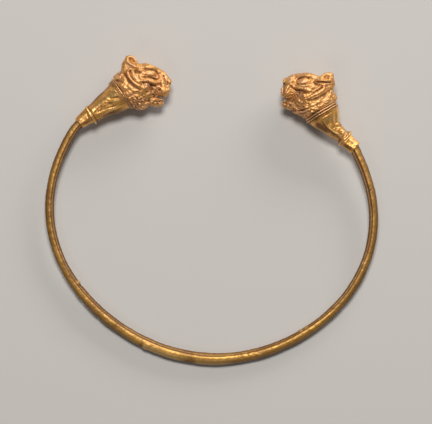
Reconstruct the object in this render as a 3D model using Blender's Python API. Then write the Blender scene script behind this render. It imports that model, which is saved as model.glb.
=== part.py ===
"""Open gold bracelet with two lion-head terminals.

The hoop lies almost flat.  Each end of it sits in a short facetted sleeve, the
sleeve meets a flared neck cone with a thin lip, and a double wire rings the
cone's wide end, behind the lion head.  The bracelet rests on three small worn
flats: one under the far side of the hoop and one under each head.

Each piece is modelled in millimetres in the frame of its own neck: A runs
forward along the neck towards the nose, U runs up towards the ears and W runs
sideways.  It is then scaled to metres and placed by its object's matrix.
"""

import math

import bmesh
import bpy
from mathutils import Matrix, Vector

for old in list(bpy.data.objects):
    bpy.data.objects.remove(old, do_unlink=True)

# ---------------------------------------------------------------- dimensions
MM = 0.001

# Hoop: a hand-bent ring, in mm.  The centreline is a circle that is out of
# round by a cosine and a sine term in two, three and four lobes.
HOOP_RADIUS = 34.21
HOOP_CENTRE_Y = 1.41
HOOP_LOBES = {2: (0.310, -0.577), 3: (-0.074, -0.855), 4: (0.514, -0.106)}
HOOP_START, HOOP_END = -207.5, 15.5  # degrees, counter-clockwise from +X
HOOP_THICKNESS = (  # angle in degrees, thickness in mm
    (-212.0, 1.93),
    (-157.0, 1.93),
    (-143.0, 2.28),
    (-120.0, 2.43),
    (-96.0, 2.58),
    (-84.0, 2.43),
    (-65.0, 2.27),
    (-45.0, 2.02),
    (-30.0, 1.95),
    (22.0, 1.95),
)
HOOP_STEPS = 72
HOOP_SIDES = 13  # round the section, besides the three points of the seam
SEAM_FLANK, SEAM_BOTTOM = 117.0, 99.0  # degrees round the section from outside
SEAM_WIDTH, SEAM_DEPTH = 7.0, 0.13  # degrees each side, mm
END_STEPS = 4

# Necks: where each neck's axis starts and points, in the hoop's plane.
LEFT_AT, LEFT_ANGLE = (-19.60, 25.25), 35.35
RIGHT_AT, RIGHT_ANGLE = (24.20, 21.05), 120.80

UNIT = 10.41 / 48  # mm: the canon of the head, a 48th of its length
GAP = 0.18  # units between one piece and the next
SIDES = 24  # round a neck

# Stations are (along A, offset in U, half height, half width), in units.
CONE_LEFT = (
    (-34.9, 0.45, 9.0, 9.2),
    (-30.0, 0.4, 9.4, 9.6),
    (-20.0, 0.5, 11.5, 11.6),
    (-10.0, -0.6, 13.9, 14.0),
    (-4.5, -0.8, 15.4, 15.4),
    (-1.3, -0.4, 17.0, 17.0),
)
LIP_LEFT = ((-37.6, 0.35), (-35.2, 0.35), 10.8, 2.0)
SLEEVE_LEFT = (
    (-51.3, 0.0, 6.4, 6.4),
    (-49.5, 0.3, 6.9, 6.9),
    (-47.0, 0.8, 6.9, 6.9),
    (-41.0, 1.1, 7.9, 7.9),
    (-37.8, 1.0, 8.9, 8.9),
)
CONE_RIGHT = (
    (-29.9, 4.9, 6.9, 8.0),
    (-28.0, 4.3, 6.8, 8.3),
    (-24.0, 3.0, 7.3, 9.4),
    (-20.0, 1.7, 8.7, 10.6),
    (-13.0, -0.2, 10.8, 12.4),
    (-10.0, -0.5, 12.5, 13.2),
    (-5.0, -0.15, 15.3, 15.4),
    (-1.3, -0.4, 17.0, 17.0),
)
LIP_RIGHT = ((-33.5, 6.2), (-31.2, 5.4), 9.5, 18.6)
SLEEVE_RIGHT = (
    (-49.0, 10.2, 6.0, 6.0),
    (-47.0, 10.0, 6.4, 6.4),
    (-45.0, 9.5, 6.4, 6.4),
    (-40.0, 8.3, 7.0, 7.0),
    (-33.9, 6.5, 8.4, 8.4),
)
SLEEVE_SIDES = 12
SPIGOT = 13.6  # radius of the cone's core that runs through the rim wires
RIM_HOLE = 13.9
# Rim wires: the middle of each of the two wires along A, and where the head
# starts.
RIM_LEFT = (-0.35, 1.05, 0.75, 2.1)
RIM_RIGHT = (0.25, 2.75, 1.25, 4.25)
RIM_RADIUS = 17.9

# Head and mane: stations of the mane's barrel.
MANE = (
    (1.2, -0.4, 16.6, 16.6),
    (5.0, -0.7, 19.6, 18.4),
    (10.0, -1.6, 21.2, 19.2),
    (15.0, -1.9, 21.6, 19.4),
    (20.0, -2.4, 21.6, 19.0),
    (25.0, -3.0, 20.0, 17.4),
    (29.0, -3.0, 16.5, 14.5),
)
FACE_ANGLE = -50.0  # the face looks down from the neck's axis by this
# How far each head sits from the canon's place on its neck, in A and U.
HEAD_SHIFT_LEFT, HEAD_SHIFT_RIGHT = (-0.2, -0.3), (1.5, 1.1)
VOXEL = 0.21  # mm
HEAD_TRIANGLES = 2300

# Rest: the bracelet's plane is raised at the heads, and the floor has worn a
# small flat under each head and under the hoop.
TILT, ROLL = 3.11, 0.21  # degrees: the heads' side up, and the right side up
HEIGHT = 2.935  # mm, of the plane's origin above the floor
MIDDLE = (-0.02, -0.181)  # mm: puts the middle of the whole over the origin

GOLD = (0.80, 0.50, 0.16, 1.0)
DARK_GOLD = (0.70, 0.40, 0.12, 1.0)


# ------------------------------------------------------------------- helpers
def material(name, colour, roughness):
    made = bpy.data.materials.new(name)
    made.use_nodes = True
    shader = made.node_tree.nodes["Principled BSDF"]
    shader.inputs["Base Color"].default_value = colour
    shader.inputs["Metallic"].default_value = 1.0
    shader.inputs["Roughness"].default_value = roughness
    return made


def between(stations, at):
    """A smooth reading of a table of (place, value) at one place."""
    if at <= stations[0][0]:
        return stations[0][1]
    for (x0, y0), (x1, y1) in zip(stations, stations[1:]):
        if at <= x1:
            s = (at - x0) / (x1 - x0)
            return y0 + (y1 - y0) * s * s * (3 - 2 * s)
    return stations[-1][1]


def bridge(bm, rings):
    """Closed solid through rings of equal length, capped flat at both ends."""
    rows = [[bm.verts.new(p) for p in ring] for ring in rings]
    n = len(rows[0])
    for low, high in zip(rows, rows[1:]):
        for i in range(n):
            j = (i + 1) % n
            bm.faces.new((low[i], low[j], high[j], high[i]))
    bm.faces.new(list(reversed(rows[0])))
    bm.faces.new(rows[-1])


def section(centre, slope, half_u, half_w, sides):
    """An elliptical ring across the neck, at centre (A, U), tilted in A-U."""
    c, s = math.cos(slope), math.sin(slope)
    ring = []
    for i in range(sides):
        t = 2 * math.pi * (i + 0.5) / sides
        up, out = half_u * math.cos(t), half_w * math.sin(t)
        ring.append(
            Vector((centre[0] - up * s, centre[1] + up * c, out)) * UNIT
        )
    return ring


def slope_at(stations, i):
    low, high = stations[max(i - 1, 0)], stations[min(i + 1, len(stations) - 1)]
    return math.atan2(high[1] - low[1], high[0] - low[0])


def finish(bm, name, gold, parent, place, smooth=40.0):
    """The bmesh, in mm, as a placed object in metres."""
    bmesh.ops.recalc_face_normals(bm, faces=bm.faces)
    mesh = bpy.data.meshes.new(name)
    bm.to_mesh(mesh)
    bm.free()
    mesh.transform(Matrix.Scale(MM, 4))
    mesh.shade_smooth()
    mesh.set_sharp_from_angle(angle=math.radians(smooth))
    mesh.materials.append(gold)
    obj = bpy.data.objects.new(name, mesh)
    bpy.context.scene.collection.objects.link(obj)
    obj.parent = parent
    obj.matrix_local = place
    return obj


def trimmed(bm, place):
    """Wears away what the piece has below the floor, leaving a flat face."""
    local = (RESTING @ place).inverted()
    normal = (local.to_3x3() @ Vector((0, 0, 1))).normalized()
    cut = bmesh.ops.bisect_plane(
        bm,
        geom=bm.verts[:] + bm.edges[:] + bm.faces[:],
        dist=1e-5,
        plane_co=local @ Vector((0, 0, 0)),
        plane_no=normal,
        clear_inner=True,
    )
    edges = [e for e in cut["geom_cut"] if isinstance(e, bmesh.types.BMEdge)]
    bmesh.ops.holes_fill(bm, edges=[e for e in edges if e.is_boundary])


def in_mm(place):
    """A placing matrix in metres, for geometry still in mm."""
    made = place.copy()
    made.translation = place.translation / MM
    return made


# --------------------------------------------------------------------- frame
RESTING = (
    Matrix.Translation((*MIDDLE, HEIGHT))
    @ Matrix.Rotation(math.radians(-ROLL), 4, "Y")
    @ Matrix.Rotation(math.radians(TILT), 4, "X")
)
bracelet = bpy.data.objects.new("bracelet", None)
bpy.context.scene.collection.objects.link(bracelet)
bracelet.location = (MIDDLE[0] * MM, MIDDLE[1] * MM, HEIGHT * MM)
bracelet.rotation_euler = (math.radians(TILT), math.radians(-ROLL), 0)


def neck_place(at, angle, side):
    """The neck's frame in the hoop's plane.  The right one is turned over."""
    a = Vector((math.cos(math.radians(angle)), math.sin(math.radians(angle)), 0))
    w = Vector((0, 0, side))
    u = w.cross(a)
    place = Matrix((a, u, w)).transposed().to_4x4()
    place.translation = Vector((at[0], at[1], 0)) * MM
    return place


LEFT = neck_place(LEFT_AT, LEFT_ANGLE, 1)
RIGHT = neck_place(RIGHT_AT, RIGHT_ANGLE, -1)
FLAT = Matrix.Identity(4)

hoop_gold = material("hoop_gold", GOLD, 0.30)
collar_gold = material("collar_gold", GOLD, 0.34)
wire_gold = material("wire_gold", DARK_GOLD, 0.38)
head_gold = material("head_gold", GOLD, 0.36)


# ---------------------------------------------------------------------- hoop
def hoop_point(degrees):
    t = math.radians(degrees)
    r = HOOP_RADIUS
    for lobes, (c, s) in HOOP_LOBES.items():
        r += c * math.cos(lobes * t) + s * math.sin(lobes * t)
    return Vector((r * math.cos(t), HOOP_CENTRE_Y + r * math.sin(t), 0))


def sleeve_mouth(place, stations):
    """Where the hoop meets a sleeve: the middle and the way into it, in mm."""
    end, inner = stations[0], stations[1]
    at = Vector((end[0] - GAP, end[1], 0)) * UNIT
    way = Vector((inner[0] - end[0], inner[1] - end[1], 0))
    return in_mm(place) @ at, (place.to_3x3() @ way).normalized()


def hermite(p0, v0, p1, v1, s):
    return (
        p0 * (2 * s**3 - 3 * s**2 + 1)
        + v0 * (s**3 - 2 * s**2 + s)
        + p1 * (3 * s**2 - 2 * s**3)
        + v1 * (s**3 - s**2)
    )


def hoop_path():
    """(point, tangent, angle) along the centreline, from left to right."""
    step = 0.01
    path = []
    mouth, way = sleeve_mouth(LEFT, SLEEVE_LEFT)
    first = hoop_point(HOOP_START)
    heading = (hoop_point(HOOP_START + step) - first).normalized()
    reach = (first - mouth).length
    for i in range(END_STEPS):
        s = i / END_STEPS
        path.append(
            (hermite(mouth, -way * reach, first, heading * reach, s), HOOP_START)
        )
    for i in range(HOOP_STEPS + 1):
        t = HOOP_START + (HOOP_END - HOOP_START) * i / HOOP_STEPS
        path.append((hoop_point(t), t))
    mouth_r, way_r = sleeve_mouth(RIGHT, SLEEVE_RIGHT)
    last = hoop_point(HOOP_END)
    heading = (last - hoop_point(HOOP_END - step)).normalized()
    reach = (mouth_r - last).length
    for i in range(1, END_STEPS + 1):
        s = i / END_STEPS
        path.append((hermite(last, heading * reach, mouth_r, way_r * reach, s), HOOP_END))
    found = []
    for i, (point, angle) in enumerate(path):
        if i == 0:
            tangent = -way
        elif i == len(path) - 1:
            tangent = way_r
        else:
            tangent = (path[i + 1][0] - path[i - 1][0]).normalized()
        found.append((point, tangent, angle))
    return found


def make_hoop():
    bm = bmesh.new()
    rings = []
    for point, tangent, angle in hoop_path():
        outward = Vector((tangent.y, -tangent.x, 0))
        radius = between(HOOP_THICKNESS, angle) / 2
        low = max(0.0, -math.sin(math.radians(angle)))
        seam = SEAM_FLANK + (SEAM_BOTTOM - SEAM_FLANK) * low * low
        turns = [(seam - SEAM_WIDTH, 0), (seam, SEAM_DEPTH), (seam + SEAM_WIDTH, 0)]
        span = 360 - 2 * SEAM_WIDTH
        for k in range(1, HOOP_SIDES + 1):
            turns.append((seam + SEAM_WIDTH + span * k / (HOOP_SIDES + 1), 0))
        ring = []
        for turn, depth in turns:
            f = math.radians(turn)
            out = outward * math.cos(f) + Vector((0, 0, 1)) * math.sin(f)
            ring.append(point + out * (radius - depth))
        rings.append(ring)
    bridge(bm, rings)
    trimmed(bm, FLAT)
    return finish(bm, "hoop", hoop_gold, bracelet, FLAT)


# --------------------------------------------------------------------- necks
def make_sleeve(name, stations, place):
    """A short collar, a little polygonal, with longitudinal facets."""
    bm = bmesh.new()
    rings = []
    for i, (a, u, half_u, half_w) in enumerate(stations):
        rings.append(
            section((a, u), slope_at(stations, i), half_u, half_w, SLEEVE_SIDES)
        )
    bridge(bm, rings)
    return finish(bm, name, collar_gold, bracelet, place, 20.0)


def make_cone(name, stations, lip, rim, place):
    """The lip, the flared neck, and the core that carries the rim wires."""
    (a0, u0), (a1, u1), lip_half, lip_tilt = lip
    tilt = math.atan2(u1 - u0, a1 - a0)
    bm = bmesh.new()
    rings = [
        section((a0 + GAP, u0), tilt, lip_half * 0.88, lip_half * 0.88, SIDES),
        section((a0 + 0.45, u0), tilt, lip_half, lip_half, SIDES),
        section((a1 - 0.5, u1), tilt, lip_half, lip_half, SIDES),
        section((a1, u1), tilt, lip_half * 0.88, lip_half * 0.88, SIDES),
    ]
    for i, (a, u, half_u, half_w) in enumerate(stations):
        lean = slope_at(stations, i) if i < len(stations) - 1 else 0.0
        rings.append(section((a, u), lean, half_u, half_w, SIDES))
    a, u = stations[-1][:2]
    rings.append(section((a, u), 0.0, SPIGOT, SPIGOT, SIDES))
    rings.append(section((rim[3] - GAP, u), 0.0, SPIGOT, SPIGOT, SIDES))
    bridge(bm, rings)
    return finish(bm, name, collar_gold, bracelet, place)


def make_rim(name, rim, place):
    """Two wires side by side, laid round the wide end of the cone."""
    first, second, wire, head_start = rim
    low, high = CONE_LEFT[-1][0] + GAP, head_start - GAP
    profile = [(low, RIM_HOLE), (low, RIM_RADIUS - wire * 0.9)]
    for middle in (first, second):
        for degrees in (145, 90, 35):
            t = math.radians(degrees)
            a = middle + wire * 0.62 * math.cos(t)
            profile.append((a, RIM_RADIUS - wire + wire * math.sin(t)))
    profile += [(high, RIM_RADIUS - wire * 0.9), (high, RIM_HOLE)]
    profile = [(min(max(a, low), high), r) for a, r in profile]
    bm = bmesh.new()
    centre = CONE_LEFT[-1][1]
    rows = []
    for a, r in profile:
        rows.append(
            [bm.verts.new(p) for p in section((a, centre), 0.0, r, r, SIDES)]
        )
    for low_row, high_row in zip(rows, rows[1:] + rows[:1]):
        for i in range(SIDES):
            j = (i + 1) % SIDES
            bm.faces.new((low_row[i], low_row[j], high_row[j], high_row[i]))
    bmesh.ops.remove_doubles(bm, verts=bm.verts, dist=1e-4)
    return finish(bm, name, wire_gold, bracelet, place)


# --------------------------------------------------------------------- heads
def face_point(forward, up, w=0.0):
    """A place given in the face's own frame, in the neck's A, U, W."""
    t = math.radians(FACE_ANGLE)
    c, s = math.cos(t), math.sin(t)
    return Vector((forward * c - up * s, forward * s + up * c, w))


def blob(bm, at, radii, turn=0.0, yaw=0.0, roll=0.0, level=3):
    """An ellipsoid, in units, turned in A-U, then yawed about U, rolled about A."""
    made = (
        Matrix.Translation(Vector(at) * UNIT)
        @ Matrix.Rotation(math.radians(turn), 4, "Z")
        @ Matrix.Rotation(math.radians(yaw), 4, "Y")
        @ Matrix.Rotation(math.radians(roll), 4, "X")
        @ Matrix.Diagonal((*(Vector(radii) * UNIT), 1))
    )
    bmesh.ops.create_icosphere(bm, subdivisions=level, radius=1, matrix=made)


def pair(bm, at, radii, turn=0.0, yaw=0.0, roll=0.0):
    """The same ellipsoid on both cheeks."""
    blob(bm, at, radii, turn, yaw, roll)
    blob(bm, (at[0], at[1], -at[2]), radii, turn, -yaw, -roll)


def mane_side(a, u):
    """Half width of the mane's barrel at height u."""
    rows = [(s[0], s) for s in MANE]
    for (x0, s0), (x1, s1) in zip(rows, rows[1:]):
        if a <= x1:
            k = (a - x0) / (x1 - x0)
            centre = s0[1] + (s1[1] - s0[1]) * k
            half_u = s0[2] + (s1[2] - s0[2]) * k
            half_w = s0[3] + (s1[3] - s0[3]) * k
            return half_w * math.sqrt(max(0.05, 1 - ((u - centre) / half_u) ** 2))
    return MANE[-1][3]


def head_shapes():
    """The head as overlapping closed shapes, in mm."""
    bm = bmesh.new()
    bridge(
        bm,
        [
            section((a, u), 0.0, half_u, half_w, 40)
            for a, u, half_u, half_w in MANE
        ],
    )
    bmesh.ops.recalc_face_normals(bm, faces=bm.faces)
    turn = FACE_ANGLE
    # skull, muzzle, bridge of the nose, nose and lower jaw
    blob(bm, face_point(14, 19.5), (17, 15.8, 16.4), turn)
    blob(bm, face_point(33, 18.5), (12.5, 11.5, 9.8), turn)
    blob(bm, face_point(27.5, 30.6), (13.0, 4.9, 5.4), turn - 10)
    blob(bm, face_point(41.6, 24.4), (3.6, 4.4, 5.0), turn)
    blob(bm, face_point(31.5, 1.9), (12.2, 5.8, 7.2), turn)
    # lip pads, brows, eyes, cheekbones and the boss on each cheek
    pair(bm, face_point(39.4, 14.8, 4.6), (6.6, 6.6, 5.2), turn)
    pair(bm, face_point(20, 31.0, 7.0), (7.5, 4.4, 4.6), turn)
    pair(bm, face_point(25.3, 27.6, 8.6), (6.4, 3.5, 4.2), turn)
    pair(bm, face_point(24.5, 20.6, 11.0), (7.0, 2.4, 3.6), turn - 6)
    pair(bm, (25.4, -9.6, 14.2), (3.2, 3.4, 3.0))
    # ears
    pair(bm, (27.0, 18.6, 11.0), (5.9, 9.4, 4.6), -4, 0, -14)
    pair(bm, (21.5, 17.8, 9.6), (7.2, 7.4, 5.0), 38, 0, -10)
    # the ruff behind each cheek, a C in A-U that follows the mane's side
    c_points = []
    for k in range(14):
        t = math.radians(104 + k * 136 / 13)
        c_points.append((26.5 + 8.6 * math.cos(t), 3.4 + 11.2 * math.sin(t)))
    for a, u in c_points:
        pair(bm, (a, u, mane_side(a, u) - 0.6), (2.1, 2.1, 2.2))
    # mane: two rows of flame locks round the neck
    for row, (along, count, shift) in enumerate(((7.0, 13, 0.0), (13.5, 13, 0.5))):
        for k in range(count):
            t = 2 * math.pi * (k + shift) / count
            centre, half_u, half_w = between3(along)
            up, out = half_u * math.cos(t), half_w * math.sin(t)
            lock = (
                Matrix.Translation(
                    Vector((along, centre + up * 0.965, out * 0.965)) * UNIT
                )
                @ Matrix.Rotation(t, 4, "X")
                @ Matrix.Rotation(math.radians(24), 4, "Y")
                @ Matrix.Rotation(math.radians(10), 4, "Z")
                @ Matrix.Diagonal((*(Vector((4.6, 1.9, 3.1)) * UNIT), 1))
            )
            bmesh.ops.create_icosphere(bm, subdivisions=2, radius=1, matrix=lock)
    # tufts under the throat
    blob(bm, (14.6, -24.4, 0), (1.9, 3.0, 2.6), -20)
    pair(bm, (12.6, -23.6, 5.0), (2.0, 2.6, 2.4), -20)
    return bm


def between3(along):
    for s0, s1 in zip(MANE, MANE[1:]):
        if along <= s1[0]:
            k = (along - s0[0]) / (s1[0] - s0[0])
            return [s0[i] + (s1[i] - s0[i]) * k for i in (1, 2, 3)]
    return MANE[-1][1:]


def head_cutters():
    """The hollow of each ear and the open mouth."""
    bm = bmesh.new()
    pair(bm, (28.0, 20.2, 15.8), (3.6, 5.8, 3.2), -4, 0, -14)
    bmesh.ops.recalc_face_normals(bm, faces=bm.faces)
    corner, tip = face_point(36.6, 7.8), face_point(50, 5.4)
    way = (tip - corner).normalized()
    across = Vector((-way.y, way.x, 0))
    low, high = [], []
    for side in (-12, 12):
        for p, half in ((corner, 0.9), (tip, 3.2)):
            low.append((p - across * half + Vector((0, 0, side))) * UNIT)
            high.append((p + across * half + Vector((0, 0, side))) * UNIT)
    corners = [bm.verts.new(p) for p in (low[0], low[1], high[1], high[0])]
    others = [bm.verts.new(p) for p in (low[2], low[3], high[3], high[2])]
    made = [bm.faces.new(corners), bm.faces.new(list(reversed(others)))]
    for i in range(4):
        j = (i + 1) % 4
        made.append(bm.faces.new((corners[j], corners[i], others[i], others[j])))
    bmesh.ops.recalc_face_normals(bm, faces=made)
    return bm


def plain_object(bm, name):
    mesh = bpy.data.meshes.new(name)
    bm.to_mesh(mesh)
    bm.free()
    obj = bpy.data.objects.new(name, mesh)
    bpy.context.scene.collection.objects.link(obj)
    return obj


def head_mesh():
    """The fused head, in mm, as one closed mesh of few triangles."""
    rough = plain_object(head_shapes(), "head_rough")
    cutter = plain_object(head_cutters(), "head_cutter")
    cutter.hide_render = True
    cutter.display_type = "WIRE"
    fuse = rough.modifiers.new("fuse", "REMESH")
    fuse.mode = "VOXEL"
    fuse.voxel_size = VOXEL
    ease = rough.modifiers.new("ease", "SMOOTH")
    ease.factor, ease.iterations = 0.5, 2
    cut = rough.modifiers.new("cut", "BOOLEAN")
    cut.operation, cut.object, cut.solver = "DIFFERENCE", cutter, "EXACT"
    bpy.context.view_layer.update()
    graph = bpy.context.evaluated_depsgraph_get()
    count = len(rough.evaluated_get(graph).data.loop_triangles) or sum(
        len(p.vertices) - 2 for p in rough.evaluated_get(graph).data.polygons
    )
    thin = rough.modifiers.new("thin", "DECIMATE")
    thin.ratio = HEAD_TRIANGLES / count
    bpy.context.view_layer.update()
    graph = bpy.context.evaluated_depsgraph_get()
    made = bpy.data.meshes.new_from_object(rough.evaluated_get(graph))
    bpy.data.objects.remove(rough, do_unlink=True)
    bpy.data.objects.remove(cutter, do_unlink=True)
    return made


def make_head(name, made, start, shift, place):
    """A head cut square behind the mane and worn flat where it rests."""
    bm = bmesh.new()
    bm.from_mesh(made)
    bmesh.ops.translate(bm, verts=bm.verts, vec=Vector((*shift, 0)) * UNIT)
    cut = bmesh.ops.bisect_plane(
        bm,
        geom=bm.verts[:] + bm.edges[:] + bm.faces[:],
        dist=1e-5,
        plane_co=Vector((start, 0, 0)) * UNIT,
        plane_no=(1, 0, 0),
        clear_inner=True,
    )
    edges = [e for e in cut["geom_cut"] if isinstance(e, bmesh.types.BMEdge)]
    bmesh.ops.holes_fill(bm, edges=[e for e in edges if e.is_boundary])
    trimmed(bm, in_mm(place))
    bmesh.ops.triangulate(bm, faces=bm.faces)
    return finish(bm, name, head_gold, bracelet, place)


make_hoop()
make_sleeve("sleeve_left", SLEEVE_LEFT, LEFT)
make_sleeve("sleeve_right", SLEEVE_RIGHT, RIGHT)
make_cone("cone_left", CONE_LEFT, LIP_LEFT, RIM_LEFT, LEFT)
make_cone("cone_right", CONE_RIGHT, LIP_RIGHT, RIM_RIGHT, RIGHT)
make_rim("rim_wire_left", RIM_LEFT, LEFT)
make_rim("rim_wire_right", RIM_RIGHT, RIGHT)
head = head_mesh()
make_head("head_left", head, RIM_LEFT[3], HEAD_SHIFT_LEFT, LEFT)
make_head("head_right", head, RIM_RIGHT[3], HEAD_SHIFT_RIGHT, RIGHT)
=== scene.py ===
"""Looks of the open gold bracelet with two lion-head terminals.

Every piece is a fine mesh worked out from named sizes, in the same frame as the
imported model: A runs forward along a neck, U up towards the ears, W sideways,
in units of a 48th of the head's length.
"""

import math

import bpy
import numpy as np
from mathutils import Matrix, Vector


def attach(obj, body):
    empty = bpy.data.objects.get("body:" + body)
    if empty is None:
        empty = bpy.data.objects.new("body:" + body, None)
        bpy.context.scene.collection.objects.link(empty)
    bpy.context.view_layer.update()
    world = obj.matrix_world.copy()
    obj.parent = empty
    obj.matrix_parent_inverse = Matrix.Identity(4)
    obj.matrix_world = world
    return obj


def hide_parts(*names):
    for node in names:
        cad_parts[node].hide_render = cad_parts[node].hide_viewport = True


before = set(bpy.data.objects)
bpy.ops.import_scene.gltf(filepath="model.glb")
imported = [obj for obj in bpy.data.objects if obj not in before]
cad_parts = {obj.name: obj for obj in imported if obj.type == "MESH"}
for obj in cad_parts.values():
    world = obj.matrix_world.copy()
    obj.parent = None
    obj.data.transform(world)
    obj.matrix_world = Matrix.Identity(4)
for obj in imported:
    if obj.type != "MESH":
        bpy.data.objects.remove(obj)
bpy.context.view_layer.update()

# ------------------------------------------------------------------- sizes
UNIT = 10.41 / 48  # mm
TILT, ROLL = 3.11, 0.21
HEIGHT = 2.935
MIDDLE = (-0.02, -0.181)
LEFT_AT, LEFT_ANGLE = (-19.60, 25.25), 35.35
RIGHT_AT, RIGHT_ANGLE = (24.20, 21.05), 120.80
HEAD_SHIFT_LEFT, HEAD_SHIFT_RIGHT = (-0.2, -0.3), (1.5, 1.1)
FACE_ANGLE = -50.0

RESTING = (
    Matrix.Translation((*MIDDLE, HEIGHT))
    @ Matrix.Rotation(math.radians(-ROLL), 4, "Y")
    @ Matrix.Rotation(math.radians(TILT), 4, "X")
)


def neck_place(at, angle, side):
    a = Vector((math.cos(math.radians(angle)), math.sin(math.radians(angle)), 0))
    w = Vector((0, 0, side))
    u = w.cross(a)
    place = Matrix((a, u, w)).transposed().to_4x4()
    place.translation = Vector((at[0], at[1], 0))
    return RESTING @ place


NECKS = {
    "left": neck_place(LEFT_AT, LEFT_ANGLE, 1),
    "right": neck_place(RIGHT_AT, RIGHT_ANGLE, -1),
}


def to_world(points, place, unit=UNIT):
    """Local units to world metres."""
    m = np.array(place)
    return ((points * unit) @ m[:3, :3].T + m[:3, 3]) * 0.001


# ------------------------------------------------------------------- maths
def smooth(x, low, high):
    t = np.clip((x - low) / (high - low), 0.0, 1.0)
    return t * t * (3 - 2 * t)


def curve(table, x, column=1):
    """A smooth reading of a table of rows (place, value, ...)."""
    rows = np.array(table, float)
    xs, ys = rows[:, 0], rows[:, column]
    slopes = np.gradient(ys, xs)
    i = np.clip(np.searchsorted(xs, x) - 1, 0, len(xs) - 2)
    h = xs[i + 1] - xs[i]
    t = np.clip((x - xs[i]) / h, 0.0, 1.0)
    return (
        ys[i] * (2 * t**3 - 3 * t**2 + 1)
        + slopes[i] * h * (t**3 - 2 * t**2 + t)
        + ys[i + 1] * (3 * t**2 - 2 * t**3)
        + slopes[i + 1] * h * (t**3 - t**2)
    )


def blend_min(a, b, k):
    h = np.maximum(k - np.abs(a - b), 0.0) / k
    return np.minimum(a, b) - h * h * k * 0.25


def blend_max(a, b, k):
    return -blend_min(-a, -b, k)


def waves(points, size, seed, count=9):
    """Smooth repeatable noise, about -1 to 1, with features of one size."""
    rng = np.random.default_rng(seed)
    total = np.zeros(len(points))
    for _ in range(count):
        way = rng.normal(size=3)
        way *= (0.7 + 0.6 * rng.random()) * 2 * math.pi / size / np.linalg.norm(way)
        total += np.sin(points @ way + rng.random() * 2 * math.pi)
    return total / math.sqrt(count / 2) / 1.6


def turned(turn=0.0, yaw=0.0, roll=0.0):
    m = (
        Matrix.Rotation(math.radians(turn), 3, "Z")
        @ Matrix.Rotation(math.radians(yaw), 3, "Y")
        @ Matrix.Rotation(math.radians(roll), 3, "X")
    )
    return np.array(m)


def egg(points, at, radii, turn=0.0, yaw=0.0, roll=0.0):
    """Signed distance, near enough, to an ellipsoid."""
    r = np.array(radii, float)
    q = (points - np.array(at, float)) @ (turned(turn, yaw, roll) / r)
    k0 = np.sqrt(np.einsum("ij,ij->i", q, q))
    q /= r
    k1 = np.sqrt(np.einsum("ij,ij->i", q, q))
    return np.where(k0 < 0.02, -r.min(), k0 * (k0 - 1) / np.maximum(k1, 1e-6))


def path_through(points, steps=3):
    """A Catmull-Rom curve through rows of numbers."""
    p = np.array(points, float)
    if len(p) < 3:
        return p
    ends = np.vstack([2 * p[0] - p[1], p, 2 * p[-1] - p[-2]])
    out = []
    for i in range(1, len(ends) - 2):
        p0, p1, p2, p3 = ends[i - 1 : i + 3]
        for s in range(steps):
            t = s / steps
            out.append(
                0.5
                * (
                    2 * p1
                    + (p2 - p0) * t
                    + (2 * p0 - 5 * p1 + 4 * p2 - p3) * t**2
                    + (3 * p1 - p0 - 3 * p2 + p3) * t**3
                )
            )
    out.append(p[-1])
    return np.array(out)


def strand(points, route):
    """Signed distance to a round strand; route rows are (a, u, w, radius)."""
    best = np.full(len(points), 1e3)
    for p0, p1 in zip(route, route[1:]):
        step = p1[:3] - p0[:3]
        off = points - p0[:3]
        t = np.clip(off @ (step / max(step @ step, 1e-9)), 0, 1)
        off -= t[:, None] * step
        d = np.sqrt(np.einsum("ij,ij->i", off, off))
        d -= p0[3] + (p1[3] - p0[3]) * t
        np.minimum(best, d, out=best)
    return best


def face(forward, up, w=0.0):
    """A place in the face's own frame, in the neck's A, U, W."""
    t = math.radians(FACE_ANGLE)
    c, s = math.cos(t), math.sin(t)
    return (forward * c - up * s, forward * s + up * c, w)


# -------------------------------------------------------------------- head
MANE = (
    (0.0, -0.5, 16.8, 16.0),
    (3.0, -0.6, 18.3, 16.8),
    (6.0, -0.9, 19.3, 17.5),
    (10.0, -1.5, 19.6, 17.9),
    (15.0, -1.9, 20.3, 18.3),
    (20.0, -2.3, 20.6, 18.0),
    (25.0, -2.8, 19.4, 16.8),
    (30.0, -3.0, 16.5, 14.5),
)


def barrel(points):
    a, u, w = points.T
    centre = curve(MANE, a, 1)
    half_u, half_w = curve(MANE, a, 2), curve(MANE, a, 3)
    k0 = np.sqrt(((u - centre) / half_u) ** 2 + (w / half_w) ** 2)
    k1 = np.sqrt(((u - centre) / half_u**2) ** 2 + (w / half_w**2) ** 2)
    d = np.where(k0 < 0.02, -half_w, k0 * (k0 - 1) / np.maximum(k1, 1e-6))
    return blend_max(d, a - 27.0, 5.0)


# Rows of locks round the neck: (root, tip, locks, half width, height, base,
# turn of the first in degrees).  Broad tongues over the top and the cheeks,
# small curls on the throat.
BROAD_LOCKS = (
    (10.4, 3.2, 13, 5.0, 1.3, 0.0, 84.0),
    (16.4, 6.6, 13, 5.0, 1.35, 0.35, 46.0),
)
SMALL_LOCKS = (
    (7.4, 2.8, 27, 2.5, 1.0, 0.0, 0.0),
    (11.2, 5.8, 27, 2.5, 1.1, 0.3, 7.0),
    (15.6, 9.2, 25, 2.6, 1.1, 0.5, 2.0),
)


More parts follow.
